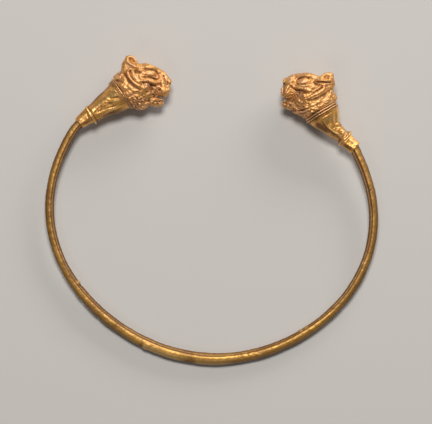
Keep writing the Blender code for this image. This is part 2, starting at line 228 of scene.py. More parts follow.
def locks(a, theta, rows, seed):
    """Height of overlapping tongues; theta is in radians, 0 at the top."""
    total = np.zeros(len(a))
    for number, (root, tip, count, half, height, base, first) in enumerate(rows):
        rng = np.random.default_rng(seed + 7 * number)
        bend = rng.uniform(0.05, 0.17, count) * np.where(rng.random(count) < 0.3, -1, 1)
        long = rng.uniform(0.88, 1.08, count)
        fat = rng.uniform(0.9, 1.12, count)
        step = 2 * math.pi / count
        nearest = np.round((theta - math.radians(first)) / step).astype(int)
        for side in (-1, 0, 1):
            k = nearest + side
            n = k % count
            s = (root - a) / ((root - tip) * long[n])
            inside = (s > 0) & (s < 1)
            s = np.clip(s, 0, 1)
            middle = k * step + math.radians(first) + bend[n] * (s * s - 0.2)
            shape = np.where(
                s > 0.45,
                (1 - ((s - 0.45) / 0.55) ** 2).clip(0) ** 0.62,
                1 - 0.22 * (1 - s / 0.45) ** 2,
            )
            x = (theta - middle) * 18.8 / (half * fat[n] * np.maximum(shape, 0.05))
            ax = np.abs(x)
            h = height * (0.15 + 0.85 * smooth(s, 0.0, 0.85)) * (1 - 0.35 * x * x)
            carved = smooth(s, 0.08, 0.3) * (1 - smooth(s, 0.8, 0.97))
            h = h - 0.26 * height * carved * (
                0.9 * bell(x, 0.16) + 0.6 * bell(ax - 0.55, 0.13)
            )
            h = h * smooth(1 - ax, 0.0, 0.30) * smooth(1 - s, 0.0, 0.14)
            low = base * smooth(s, -0.05, 0.15)
            total = np.maximum(total, np.where(inside & (ax < 1), low + h, 0))
    return total


def bell(gap, width):
    return np.exp(-((gap / width) ** 2))


def barrel_point(a, angle, lift=0.0):
    """On the mane's barrel: angle 0 is the top, 90 a side, 180 the throat."""
    centre = float(curve(MANE, np.array([a]), 1)[0])
    half_u = float(curve(MANE, np.array([a]), 2)[0])
    half_w = float(curve(MANE, np.array([a]), 3)[0])
    t = math.radians(angle)
    return (
        a,
        centre + (half_u + lift) * math.cos(t),
        (half_w + lift) * math.sin(t),
    )


def bare_head(points):
    """The big forms, alike on both sides."""
    q = points.copy()
    q[:, 2] = np.abs(q[:, 2])
    t = FACE_ANGLE
    d = barrel(q)
    d = blend_min(d, egg(q, face(14, 19.5), (17, 15.8, 16.2), t), 2.5)
    d = blend_min(d, egg(q, face(32.6, 18.4), (12.6, 11.6, 9.6), t), 2.5)
    d = blend_min(d, egg(q, face(27.5, 30.6), (13.0, 4.9, 5.6), t - 10), 2.2)
    d = blend_min(d, egg(q, face(41.8, 24.0), (3.9, 4.6, 4.6), t), 1.6)
    d = blend_min(d, egg(q, face(31.5, 1.9), (12.2, 5.8, 7.2), t), 1.8)
    d = blend_min(d, egg(q, face(39.4, 14.8, 4.4), (6.8, 6.8, 5.2), t), 1.4)
    d = blend_min(d, egg(q, face(21, 31.0, 7.0), (7.2, 4.2, 4.8), t), 2.2)
    d = blend_min(d, egg(q, face(22.0, 20.0, 11.0), (7.5, 5.0, 4.6), t), 3.0)
    return d


def side_height(places):
    """How far out in W the bare head's side is at each (A, U)."""
    places = np.array(places, float)
    w = np.full(len(places), 24.0)
    for _ in range(60):
        d = bare_head(np.column_stack([places, w]))
        w = np.clip(w - 0.7 * d, 0.0, 24.0)
    return w


class Relief:
    """Low relief drawn over a head's sides, kept on a fine net of places
    (A, U): how high each ridge and hollow is, how brown it is, from patina and painted shade,
    and how pale."""

    STEP = 0.125

    def __init__(self, seed, low=(-4.0, -38.0), size=(464, 576), grain=1.0):
        self.rng = np.random.default_rng(seed)
        self.LOW, self.SIZE, self.grain = low, size, grain
        self.height = np.zeros(self.SIZE)
        self.brown = np.zeros(self.SIZE)
        self.pale = np.zeros(self.SIZE)

    def window(self, low, high):
        i0, j0 = [
            max(int((low[n] - self.LOW[n]) / self.STEP), 0) for n in (0, 1)
        ]
        i1, j1 = [
            min(int((high[n] - self.LOW[n]) / self.STEP) + 2, self.SIZE[n])
            for n in (0, 1)
        ]
        a = self.LOW[0] + self.STEP * np.arange(i0, i1)[:, None]
        u = self.LOW[1] + self.STEP * np.arange(j0, j1)[None, :]
        return (slice(i0, i1), slice(j0, j1)), a, u

    def lay(self, where, rise, brown):
        self.height[where] += rise
        if brown:
            top = max(np.abs(rise).max(), 1e-6)
            self.brown[where] = np.maximum(
                self.brown[where], brown * np.abs(rise) / top
            )

    def stroke(self, rows, power=0.7, brown=0.0, steps=4):
        """A band along rows of (a, u, half width, height)."""
        p = path_through(rows, steps)
        r = p[:, 2].max()
        where, a, u = self.window(p[:, :2].min(0) - r, p[:, :2].max(0) + r)
        best = np.zeros(np.broadcast_shapes(a.shape, u.shape))
        for p0, p1 in zip(p, p[1:]):
            da, du = p1[0] - p0[0], p1[1] - p0[1]
            t = np.clip(
                ((a - p0[0]) * da + (u - p0[1]) * du) / max(da * da + du * du, 1e-9),
                0, 1,
            )
            d = np.hypot(a - p0[0] - t * da, u - p0[1] - t * du)
            x = np.clip(d / (p0[2] + (p1[2] - p0[2]) * t), 0, 1)
            h = (p0[3] + (p1[3] - p0[3]) * t) * (1 - x * x) ** power
            best = np.where(np.abs(h) > np.abs(best), h, best)
        self.lay(where, best, brown)

    def line(self, rows, half, height, power=0.7, brown=0.0):
        """A band of one width, its ends tapered; rows are (a, u)."""
        n = len(rows) - 1
        out = []
        for i, (a, u) in enumerate(rows):
            k = 0.45 + 0.55 * min(1.0, 2.2 * min(i, n - i) / max(n, 1))
            out.append((a, u, half * (0.4 + 0.6 * k), height * k))
        self.stroke(out, power, brown)

    def mound(self, a0, u0, long, short, turn, height, power=0.6, brown=0.0,
              press=0.0):
        """A rounded lump or, with a negative height, a pit."""
        c, s = math.cos(math.radians(turn)), math.sin(math.radians(turn))
        where, a, u = self.window((a0 - long, u0 - long), (a0 + long, u0 + long))
        x = ((a - a0) * c + (u - u0) * s) / long
        y = (-(a - a0) * s + (u - u0) * c) / short
        inside = np.clip(1 - x * x - y * y, 0, 1)
        if press:
            self.height[where] *= 1 - press * smooth(inside, 0.0, 0.5)
        self.lay(where, height * inside**power, brown)

    def tint(self, a0, u0, long, short, turn, amount):
        """Darkens the colour over a stretch of the surface and leaves its height as it was."""
        kept = self.height.copy()
        self.mound(a0, u0, long, short, turn, -1.0, 1.0, 1.35 * amount)
        self.height = kept

    def rub_and_highlight(self, *places):
        """Stretches made pale, by wear and as painted highlight: (a, u, long, short, turn,
        amount) each.
        """
        for a0, u0, long, short, turn, amount in places:
            c, s = math.cos(math.radians(turn)), math.sin(math.radians(turn))
            where, a, u = self.window((a0 - long, u0 - long), (a0 + long, u0 + long))
            x = ((a - a0) * c + (u - u0) * s) / long
            y = (-(a - a0) * s + (u - u0) * c) / short
            self.pale[where] += amount * np.clip(1 - x * x - y * y, 0, 1)

    def curls(self, low, high, gap, size, turn, height, keep=None):
        """Small curls set close together, each with a dark hollow beside it."""
        rng = self.rng
        row = 0
        u0 = low[1]
        while u0 < high[1]:
            a0 = low[0] + (row % 2) * gap * 0.5
            while a0 < high[0]:
                a, u = a0 + rng.normal() * gap * 0.13, u0 + rng.normal() * gap * 0.13
                way = turn + rng.normal() * 22
                tall = height * rng.uniform(0.6, 1.25)
                wide = size * rng.uniform(0.8, 1.2)
                if keep is None or keep(a, u):
                    self.mound(a, u, wide * 1.35, wide * 0.85, way, tall, 0.6)
                    c, s = math.cos(math.radians(way)), math.sin(math.radians(way))
                    self.mound(a + 1.05 * wide * s, u - 1.05 * wide * c, wide * 1.1,
                               wide * 0.45, way, -0.45 * tall, 0.8, 0.6)
                a0 += gap
            u0 += gap * 0.8
            row += 1

    def pits(self, places, size=0.75, depth=0.5, brown=0.6):
        for a, u in places:
            k = self.rng.uniform(0.8, 1.25)
            self.mound(a, u, size * k * 1.2, size * k * 0.9,
                       self.rng.uniform(0, 180), -depth * k, 0.7, brown)

    def soften(self, x, soft):
        n = int(3.5 * soft / self.STEP) + 1
        k = np.exp(-0.5 * (np.arange(-n, n + 1) * self.STEP / soft) ** 2)
        k /= k.sum()
        for axis in (0, 1):
            x = np.apply_along_axis(lambda v: np.convolve(v, k, "same"), axis, x)
        return x

    def finish(self, soft=0.26):
        """Softens the drawing a little, as rubbed metal is, and roughens it
        with the small dints of old hand work."""
        self.height = self.soften(self.height, soft)
        self.brown = self.soften(self.brown, soft * 1.3)
        for size, high in ((0.42, 0.07), (0.85, 0.10), (1.7, 0.09)):
            x = self.soften(self.rng.normal(size=self.SIZE), size)
            self.height += x * high * self.grain / x.std()
        low = self.soften(self.height, 1.5) - self.height
        self.brown = self.soften(self.brown, 0.35)
        self.brown = np.clip(0.62 * self.brown + np.clip(0.8 * low, 0, 0.6), 0, 0.85)
        self.brown *= 1 - 0.5 * np.clip(self.pale, 0, 1)
        # pale on local highs, where worn, and over the rubbed stretches, which carry painted
        # highlight
        self.bright = np.clip(-0.75 * low + 0.9 * self.pale, 0, 1)

    def read(self, kind, a, u):
        x = np.clip((a - self.LOW[0]) / self.STEP, 0, self.SIZE[0] - 1.001)
        y = np.clip((u - self.LOW[1]) / self.STEP, 0, self.SIZE[1] - 1.001)
        i, j = x.astype(np.int32), y.astype(np.int32)
        x, y = x - i, y - j
        h = getattr(self, kind)
        return (
            h[i, j] * (1 - x) * (1 - y) + h[i + 1, j] * x * (1 - y)
            + h[i, j + 1] * (1 - x) * y + h[i + 1, j + 1] * x * y
        )

    def over(self, kind, points, upper):
        """Read for points in the neck's frame. The side turned to the floor
        is drawn a little differently from the upper one."""
        a, u, w = points.T
        under = w * upper < 0
        a = np.where(under, a + 0.5 * np.sin(0.21 * u + 1.0), a)
        u = np.where(under, u + 0.45 * np.sin(0.19 * a + 2.0), u)
        return self.read(kind, a, u) * smooth(np.abs(w), 0.8, 4.5)


def draw_left(art):
    """The sides of the left head, in the neck's own A and U."""
    # mane: smooth worn tongues, brown between them
    art.mound(9.6, 16.0, 5.6, 3.3, 12, 0.9, 0.7)
    art.mound(11.0, 8.8, 5.4, 2.8, 82, 0.9, 0.7)
    art.mound(6.4, 3.2, 4.9, 3.6, 72, 0.9, 0.7)
    art.mound(11.4, -1.2, 4.6, 2.7, 100, 0.8, 0.7)
    art.stroke([(3.0, 14.6, 1.2, -0.4), (5.2, 11.6, 1.9, -0.9), (7.4, 8.2, 1.0, -0.5)],
               1.0, 0.6)
    art.line([(8.6, 13.2), (10.6, 12.6), (12.8, 12.4)], 0.6, -0.5, 0.8, 0.4)
    art.line([(8.6, 7.4), (9.0, 4.0), (8.8, 0.4)], 0.5, -0.45, 0.8, 0.4)
    art.line([(10.4, 11.4), (10.2, 8.4), (10.8, 5.4)], 0.45, -0.25, 0.8, 0.15)
    art.line([(5.4, 5.8), (5.2, 3.0), (6.0, 0.4)], 0.5, -0.28, 0.8, 0.15)
    art.line([(7.2, 5.4), (7.2, 2.8)], 0.45, -0.22, 0.8, 0.1)
    art.line([(2.3, 9.6), (2.1, 4.0), (2.3, -2.0)], 0.9, -0.7, 0.8, 0.9)
    for a, u, long, short, turn, h in (
        (5.0, -5.2, 2.9, 1.9, -64, 0.8), (8.6, -6.4, 3.0, 1.7, -62, 0.8),
        (4.6, -10.0, 2.8, 1.8, -66, 0.8), (12.6, -6.6, 2.9, 1.6, -58, 0.7),
        (8.2, -11.2, 2.8, 1.6, -60, 0.8), (11.6, -11.6, 2.8, 1.5, -56, 0.8),
        (15.4, -7.2, 2.5, 1.3, -52, 0.6),
    ):
        art.mound(a, u, long, short, turn, h, 0.6)
        c, s = math.cos(math.radians(turn)), math.sin(math.radians(turn))
        art.line([(a - 1.4 * c, u - 1.4 * s), (a + 1.4 * c, u + 1.4 * s)],
                 0.4, -0.35, 0.8, 0.3)
        art.line([(a + 1.9 * c + 1.6 * s, u + 1.9 * s - 1.6 * c),
                  (a + 1.7 * s, u - 1.7 * c),
                  (a - 1.9 * c + 1.6 * s, u - 1.9 * s - 1.6 * c)], 0.5, -0.4, 0.8, 0.6)
    art.curls((4.0, -26.0), (18.0, -13.0), 2.5, 1.1, -52, 0.95,
              lambda a, u: -24.5 < u < -13.0 - 0.1 * a)
    # the brown hollow between the mane and the ruff
    art.stroke(
        [(15.0, 14.6, 1.2, -0.2), (14.4, 12.0, 1.9, -0.6), (14.0, 8.0, 2.4, -0.8),
         (14.2, 2.4, 2.1, -0.8), (15.4, -2.8, 1.8, -0.8), (17.2, -7.2, 1.3, -0.7),
         (18.6, -10.6, 1.0, -0.4)], 1.0, 0.75,
    )
    # darker stretches of colour over the sides; those on the throat and jaw are painted shade
    # on the side turned from the light
    for place in ((5.4, 11.4, 4.4, 3.0, 60, 0.6), (14.2, 3.0, 11.0, 2.6, 94, 0.45),
                  (20.0, 22.0, 5.0, 3.2, 40, 0.4), (22.6, 18.0, 4.6, 2.2, 60, 0.35),
                  (17.0, -13.0, 6.0, 4.6, -50, 0.45), (26.0, -17.6, 8.0, 3.0, 0, 0.45),
                  (21.0, -25.0, 6.0, 3.6, -30, 0.4), (8.0, -16.0, 7.0, 6.0, -40, 0.35),
                  (29.0, -9.4, 5.0, 2.0, -45, 0.45), (37.0, -26.0, 5.0, 2.0, 40, 0.3)):
        art.tint(*place)
    # ruff: a C with a bright edge, pitted inside
    art.stroke(
        [(23.0, 13.2, 0.9, 0.6), (21.2, 14.3, 1.2, 1.1), (19.2, 14.1, 1.35, 1.4),
         (17.6, 12.7, 1.45, 1.5), (16.7, 10.4, 1.45, 1.5), (16.3, 7.6, 1.4, 1.5),
         (16.4, 4.4, 1.4, 1.5), (16.9, 1.0, 1.4, 1.4), (18.0, -1.8, 1.4, 1.2),
         (19.4, -4.6, 1.3, 1.0), (20.8, -7.6, 1.0, 0.6)], 0.65,
    )
    art.stroke(
        [(22.2, 11.6, 1.7, 0.8), (21.2, 8.4, 2.3, 1.1), (20.9, 4.8, 2.2, 1.1),
         (21.2, 1.4, 1.9, 0.9), (22.2, -2.0, 1.4, 0.5)], 0.7,
    )
    art.line([(20.8, 12.4), (19.0, 11.0), (18.3, 8.0), (18.2, 4.4), (18.8, 1.0),
              (20.0, -2.2), (21.4, -5.2)], 0.55, -0.45, 0.8, 0.4)
    art.pits([(19.8, 8.4), (21.5, 6.8), (21.9, 4.1), (19.9, 3.2), (23.4, 8.2),
              (20.6, -2.0), (21.8, -5.2), (20.4, 10.5), (22.5, 1.2), (23.2, 5.6)],
             0.72, 0.70)
    # pale stretches: wear, and painted highlight on the faces turned to the light
    art.rub_and_highlight((19.8, 6.0, 6.8, 3.4, 98, 0.75), (35.6, 3.4, 7.6, 3.8, -42, 0.75),
            (28.4, -4.6, 5.4, 2.0, -32, 0.45), (46.6, -12.0, 7.4, 2.6, 92, 0.75),
            (25.0, -9.6, 4.0, 2.6, 0, 0.4), (10.0, 14.8, 5.4, 3.4, 14, 0.45),
            (6.4, 3.0, 4.8, 3.0, 72, 0.4), (25.8, 16.6, 6.4, 1.9, -62, 0.8),
            (40.0, -17.0, 5.0, 2.6, 60, 0.35), (31.4, 21.0, 5.0, 1.2, 88, 0.4))
    for a, u in ((19.6, -0.6), (20.9, 0.2), (22.4, 0.4), (21.8, -3.0)):
        art.line([(a - 0.6, u + 0.8), (a + 0.9, u - 1.8)], 0.55, 0.5, 0.7)
    # ear: the bright near rim, faint folds in its hollow
    art.stroke(
        [(22.8, 22.6, 0.7, 0.5), (24.1, 20.0, 0.95, 1.2), (25.4, 17.4, 1.0, 1.4),
         (26.8, 14.8, 1.0, 1.4), (27.9, 12.2, 1.0, 1.2), (28.9, 10.0, 0.7, 0.5)], 0.6,
    )
    art.line([(22.0, 18.6), (23.6, 15.2), (25.4, 11.4)], 1.3, -0.45, 1.0, 0.45)
    art.mound(28.6, 19.6, 6.6, 2.6, 113, -0.15, 0.8, 0.6)
    art.line([(28.0, 23.6), (28.8, 20.2), (29.6, 16.8)], 0.8, -0.3, 0.9, 0.7)
    # pit under the ear and the brown line below it
    art.stroke([(23.6, 10.2, 0.9, -0.4), (25.4, 8.4, 2.0, -0.9), (27.2, 6.6, 1.9, -0.8),
                (28.2, 4.6, 0.8, -0.5)], 0.9, 1.0)
    art.line([(24.8, 5.0), (24.3, 1.6), (24.8, -0.6)], 1.1, -0.7, 0.9, 0.7)
    art.line([(27.8, 10.0), (29.6, 7.4), (30.4, 4.6)], 0.8, 0.5, 0.8)
    # brow and the long half-shut eye
    art.stroke(
        [(30.8, 9.8, 1.3, 0.5), (33.2, 8.8, 1.7, 1.0), (35.6, 7.4, 1.8, 1.2),
         (38.0, 5.2, 1.7, 1.1), (40.0, 2.6, 1.3, 0.7)], 0.65,
    )
    art.line([(29.4, 6.8), (33.0, 5.9), (36.6, 3.9), (39.6, 0.8), (41.2, -2.8)],
             0.65, -0.7, 0.8, 0.55)
    art.stroke(
        [(28.8, 4.6, 1.2, 0.5), (31.4, 3.0, 2.2, 1.4), (34.4, 0.8, 2.7, 2.1),
         (37.0, -1.6, 2.8, 2.4), (38.9, -3.6, 2.3, 2.0), (39.6, -5.4, 1.4, 1.0)], 0.5,
    )
    art.line([(30.4, 3.4), (33.6, 1.0), (36.4, -1.6)], 0.35, -0.25, 0.8, 0.2)
    art.stroke(
        [(26.6, 1.0, 0.8, -0.4), (29.4, -0.9, 1.0, -0.8), (32.2, -3.1, 1.0, -0.9),
         (34.6, -5.5, 1.0, -0.9), (36.2, -8.2, 1.0, -0.9), (38.9, -9.2, 0.9, -0.8),
         (41.2, -7.6, 0.8, -0.6), (42.0, -4.6, 0.7, -0.4)], 0.9, 0.9,
    )
    art.mound(37.0, -6.4, 2.2, 1.1, -48, 0.9)
    # stepped fold under the eye
    art.stroke(
        [(23.8, -1.2, 0.9, 0.6), (26.2, -3.0, 1.15, 1.2), (28.6, -4.3, 1.15, 1.3),
         (30.6, -5.4, 1.15, 1.3), (31.3, -7.3, 1.15, 1.3), (31.9, -9.1, 1.15, 1.3),
         (33.6, -10.8, 1.15, 1.3), (35.9, -12.3, 1.1, 1.2), (38.4, -13.0, 0.9, 0.8)],
        0.6, 0, 3,
    )
    art.line([(23.4, -4.0), (26.6, -5.8), (28.8, -8.4), (30.2, -11.4), (33.2, -13.8),
              (37.6, -15.4)], 1.0, -0.8, 0.9, 0.7)
    # boss like a small paw
    art.mound(25.0, -9.4, 4.2, 2.6, -14, 0.7, 1.0)
    for a, u, long, turn, h in ((21.7, -9.6, 1.9, 112, 0.6), (23.6, -10.6, 2.8, 100, 0.9),
                                (25.6, -11.2, 2.6, 84, 1.0), (27.6, -10.6, 2.4, 66, 0.8)):
        art.mound(a, u, long, 0.9, turn, h, 0.7)
    for a, u in ((22.7, -11.2), (24.6, -11.8), (26.7, -11.8)):
        art.line([(a, u + 1.6), (a, u), (a + 0.3, u - 1.6)], 0.45, -0.4, 0.8, 0.8)
    art.line([(20.0, -11.4), (21.4, -13.6), (24.0, -15.2)], 0.8, -0.5, 0.9, 0.8)
    art.line([(26.6, -14.8), (28.8, -13.6), (29.6, -11.0)], 0.7, -0.4, 0.9, 0.8)
    art.curls((21.0, -22.6), (33.0, -15.6), 2.7, 0.8, -24, 0.55)
    # folds that run back along the cheek, and the swirl at the mouth's corner
    art.line([(18.4, -17.6), (20.6, -16.2), (23.4, -16.6)], 1.0, 0.6, 0.9)
    art.line([(24.0, -16.6), (26.8, -17.8), (30.0, -16.4)], 1.0, 0.6, 0.9)
    art.line([(19.8, -19.4), (22.6, -18.4), (25.4, -19.6), (28.2, -19.2)], 0.7, -0.3,
             0.8, 0.6)
    art.line([(22.4, -20.8), (25.2, -20.2), (28.2, -20.9)], 0.9, 0.5, 0.9)
    art.line([(31.2, -18.8), (31.8, -16.9), (33.6, -16.0), (35.4, -16.8), (35.9, -18.8),
              (34.8, -20.8), (33.0, -21.6)], 0.8, 0.9, 0.65)
    art.mound(33.4, -18.9, 1.4, 1.1, 40, -0.9, 0.8, 0.9)
    art.mound(34.5, -18.0, 0.7, 0.6, 0, 0.6)
    # muzzle: two broad arcs, lip pad, side of the nose
    art.stroke(
        [(34.6, -24.2, 1.6, 0.5), (36.8, -21.2, 2.4, 1.0), (39.2, -18.2, 2.6, 1.3),
         (40.9, -14.8, 2.4, 1.2), (41.6, -11.4, 1.8, 0.9), (41.2, -8.6, 1.2, 0.4)], 0.9,
    )
    art.line([(33.6, -22.8), (35.0, -20.2), (36.6, -17.2), (38.8, -14.4), (40.6, -11.4)],
             0.6, -0.4, 0.8, 0.6)
    art.line([(38.4, -22.8), (40.6, -19.6), (42.8, -16.2), (44.3, -12.6), (44.6, -9.0)],
             0.7, -0.4, 0.8, 0.5)
    for k in range(4):
        art.line([(44.4 + 0.5 * k, -11.6 - 1.7 * k), (46.8 + 0.3 * k, -12.4 - 1.7 * k)],
                 0.6, 0.45, 0.7)
    art.mound(46.0, -13.4, 4.6, 2.0, 82, 0.8, 0.6)
    art.mound(45.3, -10.0, 1.1, 0.9, 60, -1.0, 0.8, 0.9)
    art.mound(46.1, -18.5, 1.3, 1.0, 30, 0.8)
    art.mound(44.0, -20.4, 1.3, 0.9, 30, 0.6)
    art.line([(42.6, -19.2), (44.6, -18.0), (46.0, -16.4)], 0.6, -0.7, 0.8, 0.8)
    art.mound(37.6, -23.8, 4.2, 2.4, 38, 0.7, 0.7)
    # jaw: lip, crease and lumps
    art.line([(20.6, -21.8), (23.6, -23.4), (26.6, -25.0), (29.2, -27.0), (30.4, -29.6)],
             1.3, 1.0, 0.65)
    art.line([(21.8, -25.2), (24.6, -27.2), (27.6, -29.0), (29.2, -30.6)], 0.75, -0.8,
             0.8, 0.9)
    art.mound(22.6, -27.4, 1.7, 1.2, -30, 1.2)
    art.mound(26.2, -30.4, 2.1, 1.2, -24, 1.3)
    art.mound(24.4, -29.2, 1.0, 0.7, 60, -0.8, 0.8, 0.9)
    art.mound(28.8, -31.6, 1.4, 1.0, -20, 0.9)
    art.mound(19.6, -24.4, 1.6, 1.1, -40, 1.0)
    art.curls((18.4, -32.4), (31.0, -23.4), 2.3, 0.75, -30, 0.6)
    art.pits([(27.2, -26.8), (24.8, -25.4), (31.6, -13.8), (28.4, -21.4), (25.2, -21.6),
              (22.2, -22.0)], 0.5, 0.6, 0.8)


def draw_right(art):
    """The sides of the right head, in the neck's own A and U."""
    # pale stretches: wear, and painted highlight on the faces turned to the light
    art.rub_and_highlight((47.2, -8.0, 9.0, 2.6, 96, 0.8), (43.4, 2.0, 4.4, 2.4, -58, 0.6),
            (38.4, -1.4, 5.2, 2.8, -64, 0.95), (33.2, 12.8, 5.4, 2.8, -58, 0.6),
            (30.4, 25.6, 4.6, 2.4, 14, 0.8), (21.2, 4.4, 8.2, 2.2, 96, 0.55),
            (29.8, -2.4, 5.0, 2.4, -36, 0.55), (37.0, -9.8, 4.8, 2.4, -32, 0.5),
            (9.6, 9.0, 8.0, 3.6, 88, 0.5), (43.6, -16.6, 5.4, 2.2, 60, 0.45),
            (34.6, 23.0, 4.4, 1.2, 92, 0.5), (27.4, -14.0, 4.0, 2.6, 0, 0.3))
    # mane: an oval lobe with folded edges, streaks under it
    art.mound(12.6, 16.2, 3.9, 2.4, 50, 0.9, 0.65)
    art.mound(7.2, 16.4, 3.4, 2.2, 70, 0.6, 0.7)
    art.mound(9.4, 8.6, 5.1, 3.6, 62, 1.3, 0.55)
    art.line([(6.6, 11.4), (6.0, 8.2), (7.4, 5.2), (9.8, 4.2)], 0.6, -0.6, 0.8, 0.6)
    art.line([(8.6, 11.6), (8.0, 8.8), (9.2, 6.4), (11.2, 5.6)], 0.5, -0.5, 0.8, 0.45)
    art.line([(10.6, 11.2), (10.2, 9.2), (11.2, 7.6)], 0.4, -0.35, 0.8, 0.3)
    art.line([(12.6, 12.6), (13.2, 8.6), (12.4, 4.6)], 0.6, -0.5, 0.8, 0.6)
    art.mound(7.2, 1.2, 3.6, 1.8, 76, 0.9, 0.6)
    art.line([(6.2, 3.4), (6.4, 0.8), (7.2, -1.4)], 0.4, -0.4, 0.8, 0.4)
    art.mound(8.9, -1.9, 1.0, 0.9, 0, 0.9, 0.6)
    art.line([(9.4, 3.6), (10.2, 0.6), (10.0, -3.4)], 0.8, -0.6, 0.9, 0.7)
    art.mound(12.2, 0.4, 4.0, 1.7, 88, 0.7, 0.7)
    art.mound(12.6, -6.4, 3.2, 1.8, -70, 0.7, 0.7)
    art.line([(4.5, 0.4), (4.4, -5.6), (4.6, -12.6)], 0.8, -0.7, 0.8, 0.9)
    for a, u, long, short, turn, h in (
        (6.8, -5.0, 2.6, 1.5, -74, 0.8), (6.6, -9.6, 2.6, 1.5, -74, 0.8),
        (9.4, -7.8, 2.6, 1.4, -70, 0.8), (7.4, -14.2, 2.6, 1.5, -64, 0.8),
    ):
        art.mound(a, u, long, short, turn, h, 0.6)
        c, s = math.cos(math.radians(turn)), math.sin(math.radians(turn))
        art.line([(a - 1.4 * c, u - 1.4 * s), (a + 1.4 * c, u + 1.4 * s)],
                 0.4, -0.35, 0.8, 0.3)
        art.line([(a + 1.9 * c + 1.5 * s, u + 1.9 * s - 1.5 * c),
                  (a + 1.6 * s, u - 1.6 * c)], 0.5, -0.4, 0.8, 0.6)
    art.curls((6.0, -25.0), (13.0, -16.0), 2.4, 1.05, -58, 0.9)
    art.curls((14.4, -21.0), (19.6, -11.4), 2.4, 1.05, -52, 0.9)
    # darker stretches of colour over the sides; those on the throat and jaw are painted shade
    # on the side turned from the light
    for place in ((15.4, 4.0, 10.0, 2.6, 92, 0.45), (20.6, 19.6, 5.0, 3.0, 55, 0.4),
                  (17.0, -13.0, 5.0, 4.0, -50, 0.4), (24.0, -18.6, 8.0, 4.0, -10, 0.5),
                  (5.6, -6.0, 6.0, 2.4, 84, 0.45), (24.0, -25.0, 6.0, 4.0, -40, 0.4),
                  (10.0, -18.0, 6.0, 5.0, -50, 0.35), (32.0, -1.0, 5.0, 2.0, -60, 0.35),
                  (38.0, -22.0, 6.0, 2.4, 40, 0.35)):
        art.tint(*place)
    # the long lock that ends under the throat
    art.stroke(
        [(10.2, -10.6, 0.9, 0.6), (10.6, -13.2, 1.3, 1.3), (11.3, -16.4, 1.3, 1.4),
         (12.6, -19.6, 1.3, 1.4), (14.2, -22.8, 1.1, 1.0), (14.8, -25.2, 0.8, 0.5)], 0.6,
    )
    art.line([(11.8, -11.8), (12.6, -14.8), (13.8, -17.8), (15.6, -20.8)], 0.75, -1.0,
             0.8, 0.9)
    art.pits([(14.4, -7.6), (15.4, -8.8), (13.2, -9.6)], 0.7, 0.7)
    # the brown hollow between the mane and the ruff
    art.stroke(
        [(15.8, 15.4, 1.2, -0.3), (15.4, 12.0, 1.7, -0.9), (15.2, 8.0, 1.7, -1.0),
         (15.6, 2.4, 1.7, -1.0), (16.6, -3.0, 1.6, -0.9), (18.4, -7.6, 1.3, -0.6)],
        1.0, 0.75,
    )
    # ruff: a long crescent, beaded along its inner groove
    art.stroke(
        [(25.4, 12.4, 1.0, 0.7), (24.2, 13.6, 1.3, 1.2), (22.2, 14.0, 1.5, 1.5),
         (20.4, 12.4, 1.8, 1.6), (19.8, 9.0, 1.95, 1.7), (19.9, 5.0, 1.9, 1.7),
         (20.2, 1.0, 1.7, 1.6), (20.6, -3.0, 1.35, 1.4), (20.9, -6.6, 1.05, 1.1),
         (21.2, -10.2, 0.7, 0.5)], 0.6,
    )
    art.line([(23.0, 12.0), (22.4, 9.4), (22.0, 6.0), (22.2, 2.6), (21.9, -1.0),
              (21.8, -4.6)], 0.5, -0.65, 0.8, 0.8)
    art.pits([(22.7, 11.2), (22.3, 9.2), (22.1, 7.2), (22.1, 5.2), (22.3, 3.2),
              (22.1, 1.2), (21.9, -0.8)], 0.6, 0.55)
    art.line([(20.8, 11.6), (20.6, 8.0), (20.6, 4.0), (20.8, 0.2)], 0.4, -0.25, 0.8, 0.2)
    art.line([(24.9, 10.8), (24.2, 7.6), (24.0, 4.2), (23.9, 0.6)], 1.2, 0.9, 0.7)
    art.line([(25.8, 8.0), (25.6, 4.6), (24.9, 1.8)], 0.6, -0.5, 0.8, 0.5)
    # ear: dark line down its side, pale front and tip
    art.line([(21.8, 22.0), (23.4, 19.4), (26.2, 15.6), (29.4, 11.0), (31.8, 8.4)], 0.9,
             -1.1, 0.8, 0.95)
    art.stroke(
        [(23.6, 23.4, 0.9, 0.5), (25.8, 19.6, 1.2, 1.0), (28.6, 15.4, 1.5, 1.2),
         (31.4, 11.4, 1.6, 1.1), (34.6, 8.6, 1.3, 0.6)], 0.65,
    )
    art.pits([(27.8, 21.2), (25.4, 20.4), (29.6, 19.0)], 0.8, 0.6)
    art.line([(28.6, 24.4), (29.4, 21.0), (30.4, 17.4)], 0.7, -0.4, 0.9, 0.5)
    # pit under the ear with its knob
    art.stroke([(26.6, 9.0, 1.0, -0.4), (28.4, 8.2, 1.7, -0.8), (30.2, 7.4, 1.7, -0.8),
                (32.0, 6.2, 0.8, -0.5)], 0.9, 1.0)
    art.mound(27.2, 10.6, 1.2, 0.9, 20, 0.9)
    art.line([(26.8, 6.4), (26.2, 3.2), (26.6, 0.8)], 0.8, -0.5, 0.9, 0.6)
    # brow, round eye, its socket and outer lid
    art.stroke(
        [(32.4, 12.2, 1.5, 0.6), (35.4, 10.4, 1.9, 1.1), (38.2, 7.6, 1.9, 1.2),
         (40.6, 4.2, 1.7, 1.1), (42.6, 0.4, 1.4, 0.9), (43.4, -3.4, 1.2, 0.8),
         (43.0, -7.4, 0.9, 0.5)], 0.65,
    )
    art.mound(38.0, -1.8, 6.4, 3.6, -68, 2.9, 0.8)
    art.line([(36.4, 5.2), (38.8, 4.4), (40.8, 2.2), (41.9, -0.8), (41.8, -4.4),
              (40.8, -7.4)], 0.55, -0.55, 0.8, 0.8)
    art.line([(30.8, 3.8), (32.2, 0.4), (33.8, -3.4), (36.2, -7.2), (39.4, -8.8)], 1.1,
             0.8, 0.8)
    art.line([(29.2, 3.2), (30.6, -0.6), (32.6, -4.8), (35.4, -9.0), (39.2, -10.6)],
             0.6, -0.45, 0.8, 0.7)
